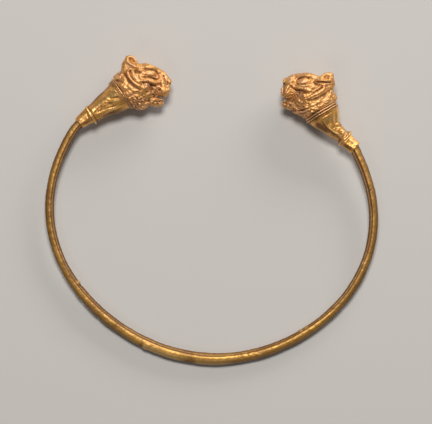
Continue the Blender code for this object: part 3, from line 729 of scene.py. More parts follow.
    # almond under it, and the bright crescent of the cheek
    art.mound(27.9, -1.8, 4.9, 2.3, -40, 1.6, 0.55)
    art.line([(25.6, 0.6), (27.8, -1.6), (30.0, -3.8)], 0.4, -0.35, 0.8, 0.3)
    art.stroke(
        [(30.2, -4.6, 0.9, 0.6), (32.4, -6.6, 1.2, 1.2), (34.4, -8.9, 1.3, 1.4),
         (36.6, -10.9, 1.3, 1.4), (39.4, -12.4, 1.2, 1.1), (42.0, -12.8, 0.9, 0.6)], 0.6,
    )
    art.line([(24.0, -3.0), (27.6, -5.8), (31.0, -8.4), (33.6, -11.6), (37.6, -14.2),
              (41.6, -14.8)], 0.9, -0.9, 0.85, 0.8)
    # boss like a small paw
    art.mound(24.8, -8.6, 3.4, 2.2, -8, 0.5, 0.8)
    for a, u, long, turn in ((21.9, -9.8, 1.9, 108), (23.7, -9.2, 2.9, 98),
                             (25.7, -9.8, 2.9, 84), (27.6, -10.2, 2.2, 68)):
        art.mound(a, u, long, 0.86, turn, 1.25, 0.5)
    for a, u in ((22.8, -10.2), (24.7, -10.2), (26.8, -10.6)):
        art.line([(a, u + 1.8), (a, u), (a + 0.3, u - 1.8)], 0.5, -0.5, 0.8, 0.9)
    art.curls((22.0, -22.0), (30.0, -14.0), 2.6, 0.7, -30, 0.45)
    art.line([(21.8, -12.2), (24.4, -13.4), (28.0, -13.0), (29.2, -10.0)], 0.8, -0.7,
             0.9, 0.75)
    # swirl of folds round the corner of the mouth
    for r, h, first, last in ((1.7, 0.6, 190, -60), (3.9, 0.7, 165, 20),
                              (4.2, 0.5, -10, -70), (6.2, 0.6, 150, 60)):
        rows = []
        for deg in range(first, last - 1, -25):
            x, y = r * 1.15 * math.cos(math.radians(deg)), r * math.sin(math.radians(deg))
            k = 1 + 0.10 * math.sin(0.07 * deg + r)
            rows.append((31.6 + x * 0.95 * k, -18.0 + y * 0.9 * k - 0.25 * x))
        art.line(rows, 0.95, h, 0.8)
        rows = [(a + (a - 31.4) * 1.0 / r, u + (u + 18.0) * 1.0 / r) for a, u in rows]
        art.line(rows, 0.5, -0.35, 0.8, 0.6)
    art.mound(31.4, -18.2, 1.0, 0.8, 20, -0.5, 0.8, 0.6)
    art.line([(18.6, -13.8), (21.4, -14.8), (24.6, -15.4)], 0.9, 0.7, 0.65)
    art.line([(18.8, -17.4), (21.8, -18.0), (24.4, -18.4)], 0.9, 0.7, 0.65)
    # muzzle and lip arcs
    art.mound(45.2, -12.0, 5.4, 3.2, 84, 1.2, 0.55)
    art.mound(45.6, -9.0, 0.9, 0.7, 60, -0.6, 0.8, 0.6)
    art.line([(41.2, -21.2), (43.4, -17.6), (43.2, -13.0), (42.2, -9.6)], 0.75, -0.8,
             0.8, 0.7)
    art.stroke(
        [(35.0, -23.4, 1.0, 0.5), (38.0, -20.8, 1.4, 1.1), (40.4, -17.6, 1.5, 1.2),
         (41.4, -14.4, 1.1, 0.6)], 0.6,
    )
    art.line([(36.0, -25.0), (39.6, -22.8), (43.4, -19.8), (46.4, -15.8)], 0.6, -0.7,
             0.8, 0.7)
    art.line([(36.4, -26.6), (40.4, -24.4), (44.4, -21.4), (47.8, -17.0)], 1.0, 0.7, 0.65)
    art.mound(46.6, -18.4, 1.2, 0.9, 40, 0.6)
    # jaw
    art.line([(21.6, -20.2), (24.4, -21.8), (27.4, -23.6), (30.0, -25.6), (31.2, -28.2)],
             1.3, 1.0, 0.65)
    art.line([(22.8, -23.6), (25.4, -25.8), (28.2, -27.6), (29.8, -29.4)], 0.75, -0.8,
             0.8, 0.9)
    art.mound(24.4, -26.6, 1.8, 1.2, -40, 1.2)
    art.mound(27.8, -29.0, 2.0, 1.2, -30, 1.2)
    art.mound(20.6, -22.6, 1.5, 1.1, -40, 0.9)
    art.curls((20.4, -31.0), (32.0, -22.4), 2.3, 0.75, -34, 0.6)
    art.pits([(26.0, -22.0), (28.8, -25.4), (25.6, -28.0), (34.0, -14.2), (28.6, -14.6)],
             0.5, 0.6, 0.8)


class Head:
    """Collects the head's details, then works out its field at any points."""

    def __init__(self, seed, shift, start, floor, art, upper):
        self.seed, self.shift, self.start, self.floor = seed, shift, start, floor
        self.art, self.upper = art, upper
        self.shorter, self.jaw_back = 0.0, 0.0
        self.details = []  # (kind, both sides, blend, centre, reach, maker)
        self.margin = 1.5

    def add(self, kind, both, blend, centre, reach, maker):
        self.details.append((kind, both, blend, np.array(centre, float), reach, maker))

    def egg(self, kind, both, blend, at, radii, turn=0.0, yaw=0.0, roll=0.0):
        self.add(
            kind, both, blend, at, max(radii),
            lambda p: egg(p, at, radii, turn, yaw, roll),
        )

    def line(self, kind, both, blend, route):
        route = np.array(route, float)
        centre = (route[:, :3].max(0) + route[:, :3].min(0)) / 2
        reach = np.linalg.norm(route[:, :3] - centre, axis=1).max() + route[:, 3].max()
        self.add(kind, both, blend, centre, reach, lambda p: strand(p, route))

    def on_side(self, kind, rows, blend=0.6, both=True, steps=3):
        """A ridge ("add") or groove ("cut") over the side; rows are (a, u,
        radius, lift), lift being how far its middle is above the surface."""
        p = path_through(rows, steps)
        w = side_height(p[:, :2])
        self.line(
            kind, both, blend, np.column_stack([p[:, 0], p[:, 1], w + p[:, 3], p[:, 2]])
        )

    def knob(self, kind, a, u, radius, lift, blend=0.5, both=True):
        w = float(side_height([(a, u)])[0])
        self.egg(kind, both, blend, (a, u, w + lift), (radius, radius, radius))

    def field(self, points):
        """The signed distance. The points are sorted into cells first, so
        that each detail meets only the points near it."""
        p = points - np.array([self.shift[0], self.shift[1], 0.0])
        p[:, 0] += self.shorter * np.maximum(p[:, 0] - 18.0, 0.0)
        p[:, 0] += self.jaw_back * smooth(-p[:, 1], 17.5, 23.0) * smooth(p[:, 0], 21, 26)
        d = bare_head(p)
        q = p.copy()
        q[:, 2] = np.abs(q[:, 2])
        near = np.nonzero((np.abs(d) < 7.0) & (q[:, 0] < 21.5))[0]
        if len(near):
            a, u, w = p[near].T
            theta = np.arctan2(w, u - curve(MANE, a, 1))
            low = smooth(np.abs(theta), 1.78, 1.98)
            h = np.maximum(
                (1 - low) * locks(a, theta, BROAD_LOCKS, self.seed),
                low * locks(a, theta, SMALL_LOCKS, self.seed + 50),
            )
            # nothing on the ears; the drawn relief takes over on the sides
            h = h * (1 - smooth(u, 19.0, 22.5)) * (1 - smooth(a, 13.0, 18.5))
            turn = np.abs(theta)
            h = h * (1 - 0.92 * smooth(turn, 0.5, 0.85) * (1 - smooth(turn, 1.95, 2.3)))
            d[near] -= h
        sorted_ways = {}
        for both, x in ((True, q), (False, p)):
            cell = np.floor(x / 3.0).astype(np.int64)
            low = cell.min(0)
            size = cell.max(0) - low + 1
            key = ((cell[:, 0] - low[0]) * size[1] + cell[:, 1] - low[1]) * size[2]
            key += cell[:, 2] - low[2]
            order = np.argsort(key, kind="stable")
            starts = np.searchsorted(key[order], np.arange(size.prod() + 1))
            sorted_ways[both] = (x, low, size, order, starts)
        for kind, both, blend, centre, reach, maker in self.details:
            x, low, size, order, starts = sorted_ways[both]
            r = reach + self.margin + blend
            i0, j0, k0 = np.maximum(np.floor((centre - r) / 3.0).astype(int) - low, 0)
            i1, j1, k1 = np.minimum(
                np.floor((centre + r) / 3.0).astype(int) - low, size - 1
            )
            if i1 < i0 or j1 < j0 or k1 < k0:
                continue
            parts = []
            for i in range(i0, i1 + 1):
                for j in range(j0, j1 + 1):
                    row = (i * size[1] + j) * size[2]
                    if starts[row + k1 + 1] > starts[row + k0]:
                        parts.append(order[starts[row + k0] : starts[row + k1 + 1]])
            if not parts:
                continue
            near = np.concatenate(parts)
            off = x[near] - centre
            near = near[np.einsum("ij,ij->i", off, off) < r * r]
            if not len(near):
                continue
            new = maker(x[near])
            if kind == "add":
                d[near] = blend_min(d[near], new, blend)
            else:
                d[near] = blend_max(d[near], -new, blend)
        near = np.nonzero(np.abs(d) < 7.0)[0]
        d[near] -= self.art.over("height", points[near], self.upper)
        # shallow furrows over the bridge of the nose
        t = math.radians(FACE_ANGLE)
        f = p[near, 0] * math.cos(t) + p[near, 1] * math.sin(t)
        g = p[near, 1] * math.cos(t) - p[near, 0] * math.sin(t)
        w = q[near, 2]
        bridge = (1 - smooth(w, 2.4, 5.6)) * smooth(g, 20.0, 26.0)
        for f0 in (29.0, 32.2, 35.6):
            d[near] += 0.30 * bridge * bell(f - f0 + 0.16 * w, 0.75)
            d[near] -= 0.16 * bridge * bell(f - f0 - 1.5 + 0.16 * w, 0.9)
        # worn and hand-worked: soft lumps, small dints
        d += 0.16 * waves(p, 7.5, self.seed) + 0.07 * waves(p, 2.6, self.seed + 1, 12)
        d = np.maximum(d, self.start - points[:, 0])
        m = self.floor
        return np.maximum(d, -(points @ m[:3] + m[3]))


def make_details(head, seed, side):
    """Ears, eyes, muzzle, mouth and mane, under the drawn relief."""
    rng = np.random.default_rng(seed)
    left = side == "left"
    t = FACE_ANGLE
    # ---- ears: a full round cup, its hollow turned outwards and forwards
    head.egg("add", True, 1.6, (26.6, 18.4, 10.6), (5.9, 9.4, 4.4), -4, 0, -14)
    head.egg("add", True, 2.6, (21.8, 18.4, 9.6), (6.8, 6.6, 4.8), 36, 0, -10)
    head.egg("add", True, 2.5, (17.2, 16.0, 9.0), (4.4, 4.6, 4.6), 30)
    # the mane's lower end: a full bib on one head, a pointed tuft on the other
    if left:
        head.egg("add", True, 2.5, (10.8, -19.4, 0.0), (7.4, 5.8, 9.5), -34)
    else:
        head.egg("add", True, 2.0, (12.4, -20.6, 0.0), (6.6, 2.2, 4.6), -64)
    if left:
        head.egg("cut", True, 1.6, (30.1, 18.9, 17.1), (5.6, 8.4, 5.6), 22, 0, -12)
        head.egg("cut", True, 1.6, (29.0, 19.4, 12.2), (1.5, 4.6, 1.9), 20, 0, -12)
    else:
        head.egg("cut", True, 1.2, (29.8, 18.4, 18.7), (5.4, 7.8, 5.4), 22, 0, -12)
        head.egg("cut", True, 1.6, (28.6, 20.0, 13.8), (1.3, 2.6, 1.5), 20, 0, -12)
    # ---- pit under the ear
    head.on_side("cut", [(25.4, 8.6, 1.0, 0.4), (27.0, 7.0, 1.4, 0.3)], 1.2)
    # ---- brow, eye and the broad folds under it
    head.on_side(
        "add", [(28.6, 12.8, 1.8, -1.1), (31.8, 11.2, 2.6, -1.3), (35.4, 9.0, 2.9, -1.4),
                (39.2, 5.6, 2.6, -1.3), (42.2, 1.2, 2.0, -1.0), (43.8, -3.6, 1.2, -0.6)],
        2.0,
    )
    cheek = [(24.4, -0.8, 1.6, -0.9), (27.6, -3.0, 2.3, -1.1), (31.0, -6.4, 2.5, -1.1),
             (34.0, -10.0, 2.4, -1.1), (37.4, -12.6, 2.1, -1.1), (40.4, -13.8, 1.5, -0.8)]
    head.on_side("add", cheek, 1.6)
    # ---- muzzle: side of the nose, nostril, bridge
    head.egg("cut", True, 0.5, face(44.6, 22.4, 3.2), (1.6, 1.1, 1.5), t - 30)
    head.egg("add", True, 0.9, face(43.4, 24.6, 3.4), (2.0, 1.8, 1.7), t)
    head.egg("add", True, 1.8, (45.3, -10.6, 1.4), (3.2, 5.6, 3.2), 6)
    head.line(
        "cut", False, 0.6,
        [(*face(46.6, 22.0, 0.0), 0.45), (*face(47.0, 16.0, 0.0), 0.6),
         (*face(46.6, 9.0, 0.0), 0.7)],
    )
    for f, g, w in ((41.6, 15.6, 8.6), (39.4, 13.0, 9.4), (42.6, 12.6, 8.2)):
        head.egg("cut", True, 0.3, face(f, g, w), (0.4, 0.4, 0.9), t)
    # furrows between the brows and over the bridge of the nose
    for w in (0.0, 2.4):
        head.line(
            "cut", w > 0, 0.8,
            [(*face(11, 36.4, w), 0.5), (*face(19, 36.6, w * 0.8), 0.8),
             (*face(26, 36.2, w * 0.6), 0.5)],
        )
    # ---- mouth: open a little at the front, dark along the lip, with teeth
    for f0, g0, r0, f1, g1, r1 in (
        (38.4, 7.8, 0.9, 41.4, 7.1, 1.5), (41.4, 7.1, 1.5, 44.6, 6.4, 2.2),
        (44.6, 6.4, 2.2, 48.5, 5.6, 2.9),
    ):
        for w in (-9.0, -6.0, -3.0, 0.0, 3.0, 6.0, 9.0):
            head.line(
                "cut", False, 0.5, [(*face(f0, g0, w), r0), (*face(f1, g1, w), r1)]
            )
    head.on_side(
        "cut", [(32.6, -25.4, 1.0, 0.1), (32.0, -22.6, 0.9, 0.3), (31.0, -20.2, 0.7, 0.5)],
        0.8,
    )
    for f, g, w, r in ((42.4, 9.4, 3.2, 0.85), (41.2, 9.7, 5.2, 0.7), (39.6, 9.7, 6.8, 0.7),
                       (42.8, 9.6, 1.2, 0.6)):
        head.egg("add", True, 0.3, face(f, g, w), (r, r * 2.0, r), t)
    for f, g, w, r in ((41.8, 4.4, 2.6, 0.75), (40.4, 4.9, 4.6, 0.65), (42.2, 3.9, 0.9, 0.55)):
        head.egg("add", True, 0.3, face(f, g, w), (r, r * 2.0, r), t)
    # ---- tufts under the throat
    for a0, w0, r in ((14.6, 0.0, 1.9), (13.0, 4.6, 1.7), (13.2, -4.4, 1.7),
                      (16.0, 7.6, 1.5), (16.0, -7.4, 1.5)):
        centre = barrel_point(a0, 180 - math.degrees(math.asin(w0 / 20.0)), 0.9)
        head.line(
            "add", False, 0.5,
            path_through([(centre[0] - 1.6, centre[1] + 1.6, centre[2], r * 0.8),
                          (centre[0], centre[1], centre[2], r),
                          (centre[0] + 0.7, centre[1] - 1.9, centre[2], r * 0.4)]),
        )
    for k in range(28):
        angle = rng.uniform(122, 238)
        a0 = rng.uniform(4.0, 17.5)
        head.egg("cut", False, 0.3, barrel_point(a0, angle, 1.3), (0.6, 0.6, 0.6))


# ----------------------------------------------------------- field to mesh
def net(field, low, high, step):
    """Points and quads of the field's zero surface, by surface nets."""
    low = np.array(low, float)
    n = (np.ceil((np.array(high) - low) / step / 4).astype(int) * 4) + 1
    axes = [low[i] + step * np.arange(n[i]) for i in range(3)]
    rough = [ax[::4] for ax in axes]
    grid = np.stack(np.meshgrid(*rough, indexing="ij"), -1).reshape(-1, 3)
    d = field(grid).reshape([len(r) for r in rough])
    for skip in (2, 1):
        fine = [ax[::skip] for ax in axes]
        d = d[np.ix_(*[(np.arange(len(f)) + 1) // 2 for f in fine])]
        near = np.nonzero(np.abs(d) < step * skip * 3.1)
        places = np.column_stack([fine[i][near[i]] for i in range(3)])
        d[near] = field(places)
    inside = d < 0
    corner = [(i, j, k) for i in (0, 1) for j in (0, 1) for k in (0, 1)]
    m = n - 1
    count = np.zeros(m, np.int8)
    for i, j, k in corner:
        count += inside[i : i + m[0], j : j + m[1], k : k + m[2]]
    cells = np.argwhere((count > 0) & (count < 8))
    total = np.zeros((len(cells), 3))
    hits = np.zeros(len(cells))
    for c0 in corner:
        for axis in range(3):
            if c0[axis]:
                continue
            c1 = list(c0)
            c1[axis] = 1
            p0, p1 = cells + c0, cells + c1
            v0, v1 = d[tuple(p0.T)], d[tuple(p1.T)]
            cross = np.nonzero((v0 < 0) != (v1 < 0))[0]
            t = v0[cross] / (v0[cross] - v1[cross])
            at = p0[cross].astype(float)
            at[:, axis] += t
            total[cross] += at
            hits[cross] += 1
    points = low + step * total / hits[:, None]
    number = np.full(m, -1, np.int32)
    number[tuple(cells.T)] = np.arange(len(cells))
    quads = []
    for axis in range(3):
        o1, o2 = [i for i in range(3) if i != axis]
        a = np.take(inside, range(0, n[axis] - 1), axis)
        b = np.take(inside, range(1, n[axis]), axis)
        edge = np.argwhere(a != b)
        edge = edge[
            (edge[:, o1] > 0) & (edge[:, o2] > 0)
            & (edge[:, o1] < m[o1]) & (edge[:, o2] < m[o2])
        ]
        back = a[tuple(edge.T)]
        ring = []
        for s1, s2 in ((-1, -1), (0, -1), (0, 0), (-1, 0)):
            cell = edge.copy()
            cell[:, o1] += s1
            cell[:, o2] += s2
            ring.append(number[tuple(cell.T)])
        ring = np.stack(ring, 1)
        turn = back if axis != 1 else ~back
        ring[~turn] = ring[~turn][:, ::-1]
        quads.append(ring)
    return points, np.vstack(quads)


def slope_of(field, points, h=0.06):
    """The field's slope, from four readings at the corners of a small
    tetrahedron, and its value."""
    ways = np.array([(1, 1, 1), (1, -1, -1), (-1, 1, -1), (-1, -1, 1)], float)
    slope, value = np.zeros_like(points), np.zeros(len(points))
    for way in ways:
        d = field(points + h * way)
        slope += d[:, None] * way / (4 * h)
        value += d / 4
    return slope, value


def settle(field, points, rounds=1):
    for _ in range(rounds):
        g, d = slope_of(field, points)
        size = np.maximum(np.einsum("ij,ij->i", g, g), 0.05)
        step = (d / size)[:, None] * g
        long = np.linalg.norm(step, axis=1)
        step *= np.minimum(1.0, 0.25 / np.maximum(long, 1e-9))[:, None]
        points = points - step
    return points, slope_of(field, points)[0]


# ----------------------------------------------------------- mesh to piece
def calm(points, faces, limit=0.05, rounds=3):
    """Rounds off the sharpest points of a net and leaves the rest alone."""
    faces = np.asarray(faces)
    one, two = faces.ravel(), np.roll(faces, -1, 1).ravel()
    ends, others = np.concatenate([one, two]), np.concatenate([two, one])
    count = np.maximum(np.bincount(ends, minlength=len(points)), 1)
    for _ in range(rounds):
        middle = np.stack(
            [np.bincount(ends, points[others, k], len(points)) for k in range(3)], 1
        ) / count[:, None]
        gap = middle - points
        far = np.maximum(np.linalg.norm(gap, axis=1), 1e-9)
        points = points + gap * (0.8 * np.clip(1 - limit / far, 0, 1))[:, None]
    return points


def piece(name, points, faces, gold, nodes, slot, **values):
    """A smooth-shaded mesh in world metres with its own point values."""
    mesh = bpy.data.meshes.new(name)
    faces = [f for f in faces] if isinstance(faces, list) else faces
    if isinstance(faces, np.ndarray):
        mesh.vertices.add(len(points))
        mesh.vertices.foreach_set("co", points.astype(np.float32).ravel())
        mesh.loops.add(faces.size)
        mesh.loops.foreach_set("vertex_index", faces.astype(np.int32).ravel())
        mesh.polygons.add(len(faces))
        mesh.polygons.foreach_set(
            "loop_start", np.arange(0, faces.size, 4, dtype=np.int32)
        )
        mesh.polygons.foreach_set("loop_total", np.full(len(faces), 4, np.int32))
        mesh.update(calc_edges=True)
    else:
        mesh.from_pydata([tuple(p) for p in points], [], faces)
    mesh.validate()
    mesh.shade_smooth()
    for key, value in values.items():
        layer = mesh.attributes.new(key, "FLOAT", "POINT")
        layer.data.foreach_set("value", np.asarray(value, np.float32))
    mesh.materials.append(gold)
    obj = bpy.data.objects.new(name, mesh)
    bpy.context.scene.collection.objects.link(obj)
    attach(obj, "root")
    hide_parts(*nodes)
    return obj


def rings_to_faces(rows, around):
    """Quads between closed rings, all of one length, as one array."""
    i = np.arange(around)
    j = (i + 1) % around
    base = (np.arange(rows - 1) * around)[:, None]
    quad = np.stack(
        [base + i, base + j, base + around + j, base + around + i], -1
    )
    return quad.reshape(-1, 4)


# ------------------------------------------------------------------ finish
def gold(name, base, deep, dirt_colour, rough, seed, lumps=1.0):
    """Old gold: warm metal, brown in its hollows and where shade is painted, pale where worn
    and where highlight is painted, with reddish earth.
    """
    made = bpy.data.materials.new(name)
    made.use_nodes = True
    tree = made.node_tree
    nodes, links = tree.nodes, tree.links
    shader = nodes["Principled BSDF"]
    shader.inputs["IOR"].default_value = 1.45

    def node(kind, **settings):
        n = nodes.new(kind)
        for key, value in settings.items():
            if key in n.inputs:
                n.inputs[key].default_value = value
            else:
                setattr(n, key, value)
        return n

    def noise(scale, detail=4.0, roughness=0.55, distortion=0.0):
        n = node("ShaderNodeTexNoise")
        n.inputs["Scale"].default_value = scale
        n.inputs["Detail"].default_value = detail
        n.inputs["Roughness"].default_value = roughness
        n.inputs["Distortion"].default_value = distortion
        links.new(place.outputs[0], n.inputs["Vector"])
        return n.outputs["Fac"]

    def ramp(source, *stops):
        n = node("ShaderNodeValToRGB")
        while len(n.color_ramp.elements) < len(stops):
            n.color_ramp.elements.new(0.5)
        for element, (at, colour) in zip(n.color_ramp.elements, stops):
            element.position = at
            element.color = colour if len(colour) == 4 else (*colour, 1)
        links.new(source, n.inputs["Fac"])
        return n.outputs["Color"]

    def maths(operation, a, b=None, clamp=False):
        n = node("ShaderNodeMath")
        n.operation = operation
        n.use_clamp = clamp
        for socket, value in zip(n.inputs, (a, b)):
            if value is None:
                continue
            if isinstance(value, (int, float)):
                socket.default_value = value
            else:
                links.new(value, socket)
        return n.outputs[0]

    def mix(factor, a, b, blend="MIX"):
        n = node("ShaderNodeMix")
        n.data_type = "RGBA"
        n.blend_type = blend
        for socket, value in ((n.inputs[0], factor), (n.inputs[6], a), (n.inputs[7], b)):
            if isinstance(value, (int, float)):
                socket.default_value = value
            elif isinstance(value, tuple):
                socket.default_value = (*value, 1) if len(value) == 3 else value
            else:
                links.new(value, socket)
        return n.outputs[2]

    def given(key):
        n = node("ShaderNodeAttribute")
        n.attribute_type = "GEOMETRY"
        n.attribute_name = key
        return n.outputs["Fac"]

    coords = node("ShaderNodeTexCoord")
    place = node("ShaderNodeMapping")
    place.inputs["Scale"].default_value = (1000, 1000, 1000)
    place.inputs["Location"].default_value = (seed * 7.3, seed * 3.1, seed * 1.7)
    links.new(coords.outputs["Object"], place.inputs["Vector"])

    cavity, dirt, worn = given("cavity"), given("dirt"), given("worn")
    broad = noise(0.55, 3.0)
    spots = noise(2.6, 4.0, 0.6)
    fine = noise(11.0, 3.0, 0.6)
    # warm and rosy patches over the base gold
    tone = ramp(
        broad,
        (0.34, base),
        (0.48, tuple(b * f for b, f in zip(base, (0.96, 0.94, 0.80)))),
        (0.64, tuple(b * f for b, f in zip(base, (1.02, 0.95, 1.14)))),
    )
    tone = mix(maths("MULTIPLY", ramp(spots, (0.45, (0, 0, 0)), (0.7, (1, 1, 1))), 0.30),
               tone, tuple(b * f for b, f in zip(base, (0.78, 0.66, 0.48))))
    # brown in the hollows, and painted shade, broken up by the grain
    shade = maths("ADD", cavity, maths("MULTIPLY", maths("SUBTRACT", spots, 0.5), 0.75))
    shade = ramp(shade, (0.12, (0, 0, 0)), (0.78, (1, 1, 1)))
    tone = mix(maths("MULTIPLY", shade, 0.92), tone, deep)
    earth = maths("ADD", dirt, maths("MULTIPLY", maths("SUBTRACT", fine, 0.5), 0.5))
    earth = ramp(earth, (0.38, (0, 0, 0)), (0.72, (1, 1, 1)))
    tone = mix(earth, tone, dirt_colour)
    # bright where it is rubbed and where highlight is painted
    tone = mix(maths("MULTIPLY", worn, 0.75, True), tone,
               tuple(min(1.0, b * f) for b, f in zip(base, (1.09, 1.26, 2.15))))
    links.new(tone, shader.inputs["Base Color"])

    metal = maths("SUBTRACT", 1.0, maths("MULTIPLY", earth, 0.75))
    metal = maths("SUBTRACT", metal, maths("MULTIPLY", shade, 0.30))
    metal = maths("SUBTRACT", metal, 0.10, clamp=True)
    links.new(metal, shader.inputs["Metallic"])
    # a thin old wax on the gold takes the yellow out of its highlights
    shader.inputs["Coat Weight"].default_value = 0.5
    shader.inputs["Coat Roughness"].default_value = 0.42
    r = maths("ADD", rough, maths("MULTIPLY", maths("SUBTRACT", spots, 0.5), 0.22))
    r = maths("ADD", r, maths("MULTIPLY", shade, 0.22))
    r = maths("ADD", r, maths("MULTIPLY", earth, 0.3))
    r = maths("SUBTRACT", r, maths("MULTIPLY", worn, 0.08), clamp=True)
    links.new(r, shader.inputs["Roughness"])

    # fine grain, dints and hair scratches
    scratch = node("ShaderNodeTexWave")
    scratch.wave_type = "BANDS"
    scratch.inputs["Scale"].default_value = 1.7
    scratch.inputs["Distortion"].default_value = 14.0
    scratch.inputs["Detail"].default_value = 2.0
    links.new(place.outputs[0], scratch.inputs["Vector"])
    grain = maths("ADD", maths("MULTIPLY", fine, 0.5),
                  maths("MULTIPLY", noise(3.6, 5.0, 0.6), 1.0))
    grain = maths("ADD", grain, maths("MULTIPLY", scratch.outputs["Fac"], 0.06))
    bump = node("ShaderNodeBump")
    bump.inputs["Strength"].default_value = 0.45
    bump.inputs["Distance"].default_value = 0.00005 * lumps
    links.new(grain, bump.inputs["Height"])
    links.new(bump.outputs["Normal"], shader.inputs["Normal"])
    return made


DEEP = (0.162, 0.058, 0.007)
EARTH = (0.085, 0.020, 0.008)
head_gold = gold("head_gold_old", (0.86, 0.468, 0.158), DEEP, EARTH, 0.57, 1.0)
neck_gold = gold("collar_gold_old", (1.0, 0.53, 0.134), DEEP, EARTH, 0.43, 2.0)
wire_gold = gold("wire_gold_old", (0.78, 0.42, 0.14), DEEP, EARTH, 0.50, 3.0)
# the hoop's gold is darker than the rest: partly its own browner tone, partly painted shade
hoop_gold = gold("hoop_gold_old_and_shaded", (0.60, 0.338, 0.075), DEEP, EARTH, 0.50, 4.0, 0.8)


# ------------------------------------------------------------- build heads
def build_head(side, seed, shift, start):
    place = NECKS[side]
    m = np.array(place)
    # height above the floor, in units, of a local point
    floor = np.array([*(m[2, :3]), m[2, 3] / UNIT])
    upper = 1 if m[2, 2] > 0 else -1
    art = Relief(seed)
    (draw_left if side == "left" else draw_right)(art)
    art.finish()
    head = Head(seed, shift, start, floor, art, upper)
    if side == "right":
        head.shorter, head.jaw_back = 0.035, 1.2
    make_details(head, seed, side)
    step = 0.378
    points, quads = net(head.field, (start - 1.5, -37, -23.5), (51.5, 33, 23.5), step)
    points, normals = settle(head.field, points, 1)
    points = calm(points, quads)
    normals /= np.maximum(np.linalg.norm(normals, axis=1), 1e-6)[:, None]
    head.margin = 3.4
    shut = np.zeros(len(points))
    for reach, share in ((0.8, 0.4), (1.7, 0.35), (3.2, 0.25)):
        d = head.field(points + normals * reach)
        shut += share * np.clip(1 - d / reach, 0, 1.2)
    open_way = np.zeros(len(points))
    for reach in (0.7, 1.5):
        d = -head.field(points - normals * reach)
        open_way += 0.5 * np.clip(1 - d / reach, 0, 1)
    brown = art.over("brown", points, upper)
    # patina in the hollows, with the drawn browns, some of them painted shade
    cavity = np.clip(np.maximum(shut * 1.25, 0.3 * shut + 0.95 * brown), 0, 1)
    # pale on edges that stand out, where worn, and over the drawn pale stretches, which carry
    # painted highlight
    worn = 0.6 * smooth(open_way, 0.10, 0.55) + 0.6 * art.over("bright", points, upper)
    p = points - np.array([shift[0], shift[1], 0])
    dirt = np.zeros(len(p))
    for a, u, r, strength in (
        ((20.0, -21.0, 2.6, 0.75), (26.5, 7.6, 1.4, 0.35), (3.0, 3.0, 1.4, 0.3))
        if side == "left"
        else ((3.0, -10.5, 2.4, 0.8), (28.5, 8.0, 1.4, 0.3), (22.5, 6.0, 1.0, 0.3))
    ):
        dirt += strength * np.exp(-((p[:, 0] - a) ** 2 + (p[:, 1] - u) ** 2) / r**2)
    dirt += 0.35 * smooth(cavity, 0.6, 1.0)
    world = to_world(points, place)
    world[:, 2] = np.maximum(world[:, 2], 0.0)
    return piece(
        f"lion_head_{side}", world, quads, head_gold, [f"head_{side}"], "head_gold",
        cavity=cavity, dirt=dirt, worn=worn,
    )


build_head("left", 11, HEAD_SHIFT_LEFT, 2.1)
build_head("right", 29, HEAD_SHIFT_RIGHT, 4.25)


# ------------------------------------------------------------ turned pieces
def loft(stations, rows, around, twist=0.0):
    """A grid (rows, around) of points across a neck, with its outward ways
    and the angle of each point: 0 is up, 90 the outer cheek."""
    rows = np.asarray(rows, float)
    centre = curve(stations, rows, 1)
    half_u, half_w = curve(stations, rows, 2), curve(stations, rows, 3)
    t = 2 * math.pi * (np.arange(around) + 0.5) / around + twist
    lean = np.gradient(centre, rows)
    ct, st = np.cos(t)[None, :], np.sin(t)[None, :]
    up = half_u[:, None] * ct
    side = half_w[:, None] * st
    tilt = np.arctan(lean)[:, None]
    a = rows[:, None] - up * np.sin(tilt)
    u = centre[:, None] + up * np.cos(tilt)
    points = np.stack([a, u, side + 0 * a], -1)
    out = np.stack([-ct * np.sin(tilt), ct * np.cos(tilt), st + 0 * a], -1)
    return points, out, np.broadcast_to(t, a.shape)


def ring_at(a, u, half, around, tilt=0.0):
    t = 2 * math.pi * (np.arange(around) + 0.5) / around
    up = half * np.cos(t)
    return np.stack([a - up * math.sin(tilt), u + up * math.cos(tilt),
                     half * np.sin(t)], -1)


def shell_piece(name, grid, gold, nodes, slot, place, unit=UNIT, **values):
    """Rings joined into one closed piece; each end is drawn to its middle."""
    rows, around = grid.shape[:2]
    points = grid.reshape(-1, 3)
    first, last = grid[0].mean(0), grid[-1].mean(0)
    points = np.vstack([points, first[None], last[None]])
    world = to_world(points, place, unit)
    world[:, 2] = np.maximum(world[:, 2], 0.0)
    faces = rings_to_faces(rows, around).tolist()
    low, high = rows * around, rows * around + 1
    base = (rows - 1) * around
    for i in range(around):
        j = (i + 1) % around
        faces.append([low, j, i])
        faces.append([high, base + i, base + j])
    flat = {}
    for key, value in values.items():
        v = np.asarray(value, float).reshape(rows, around)
        flat[key] = np.concatenate([v.ravel(), [v[0].mean(), v[-1].mean()]])
    made = piece(name, world, faces, gold, nodes, slot, **flat)
    if signed_volume(world, faces) < 0:
        made.data.flip_normals()
    return made


def signed_volume(points, faces):
    total = 0.0
    quads = np.array([f for f in faces if len(f) == 4])
    tris = np.array([f for f in faces if len(f) == 3]).reshape(-1, 3)
    sets = [tris]
    if len(quads):
        sets += [quads[:, [0, 1, 2]], quads[:, [0, 2, 3]]]
    for f in sets:
        if len(f):
            p = points[f]
            total += np.einsum(
                "ij,ij->i", p[:, 0], np.cross(p[:, 1], p[:, 2])
            ).sum()
    return total


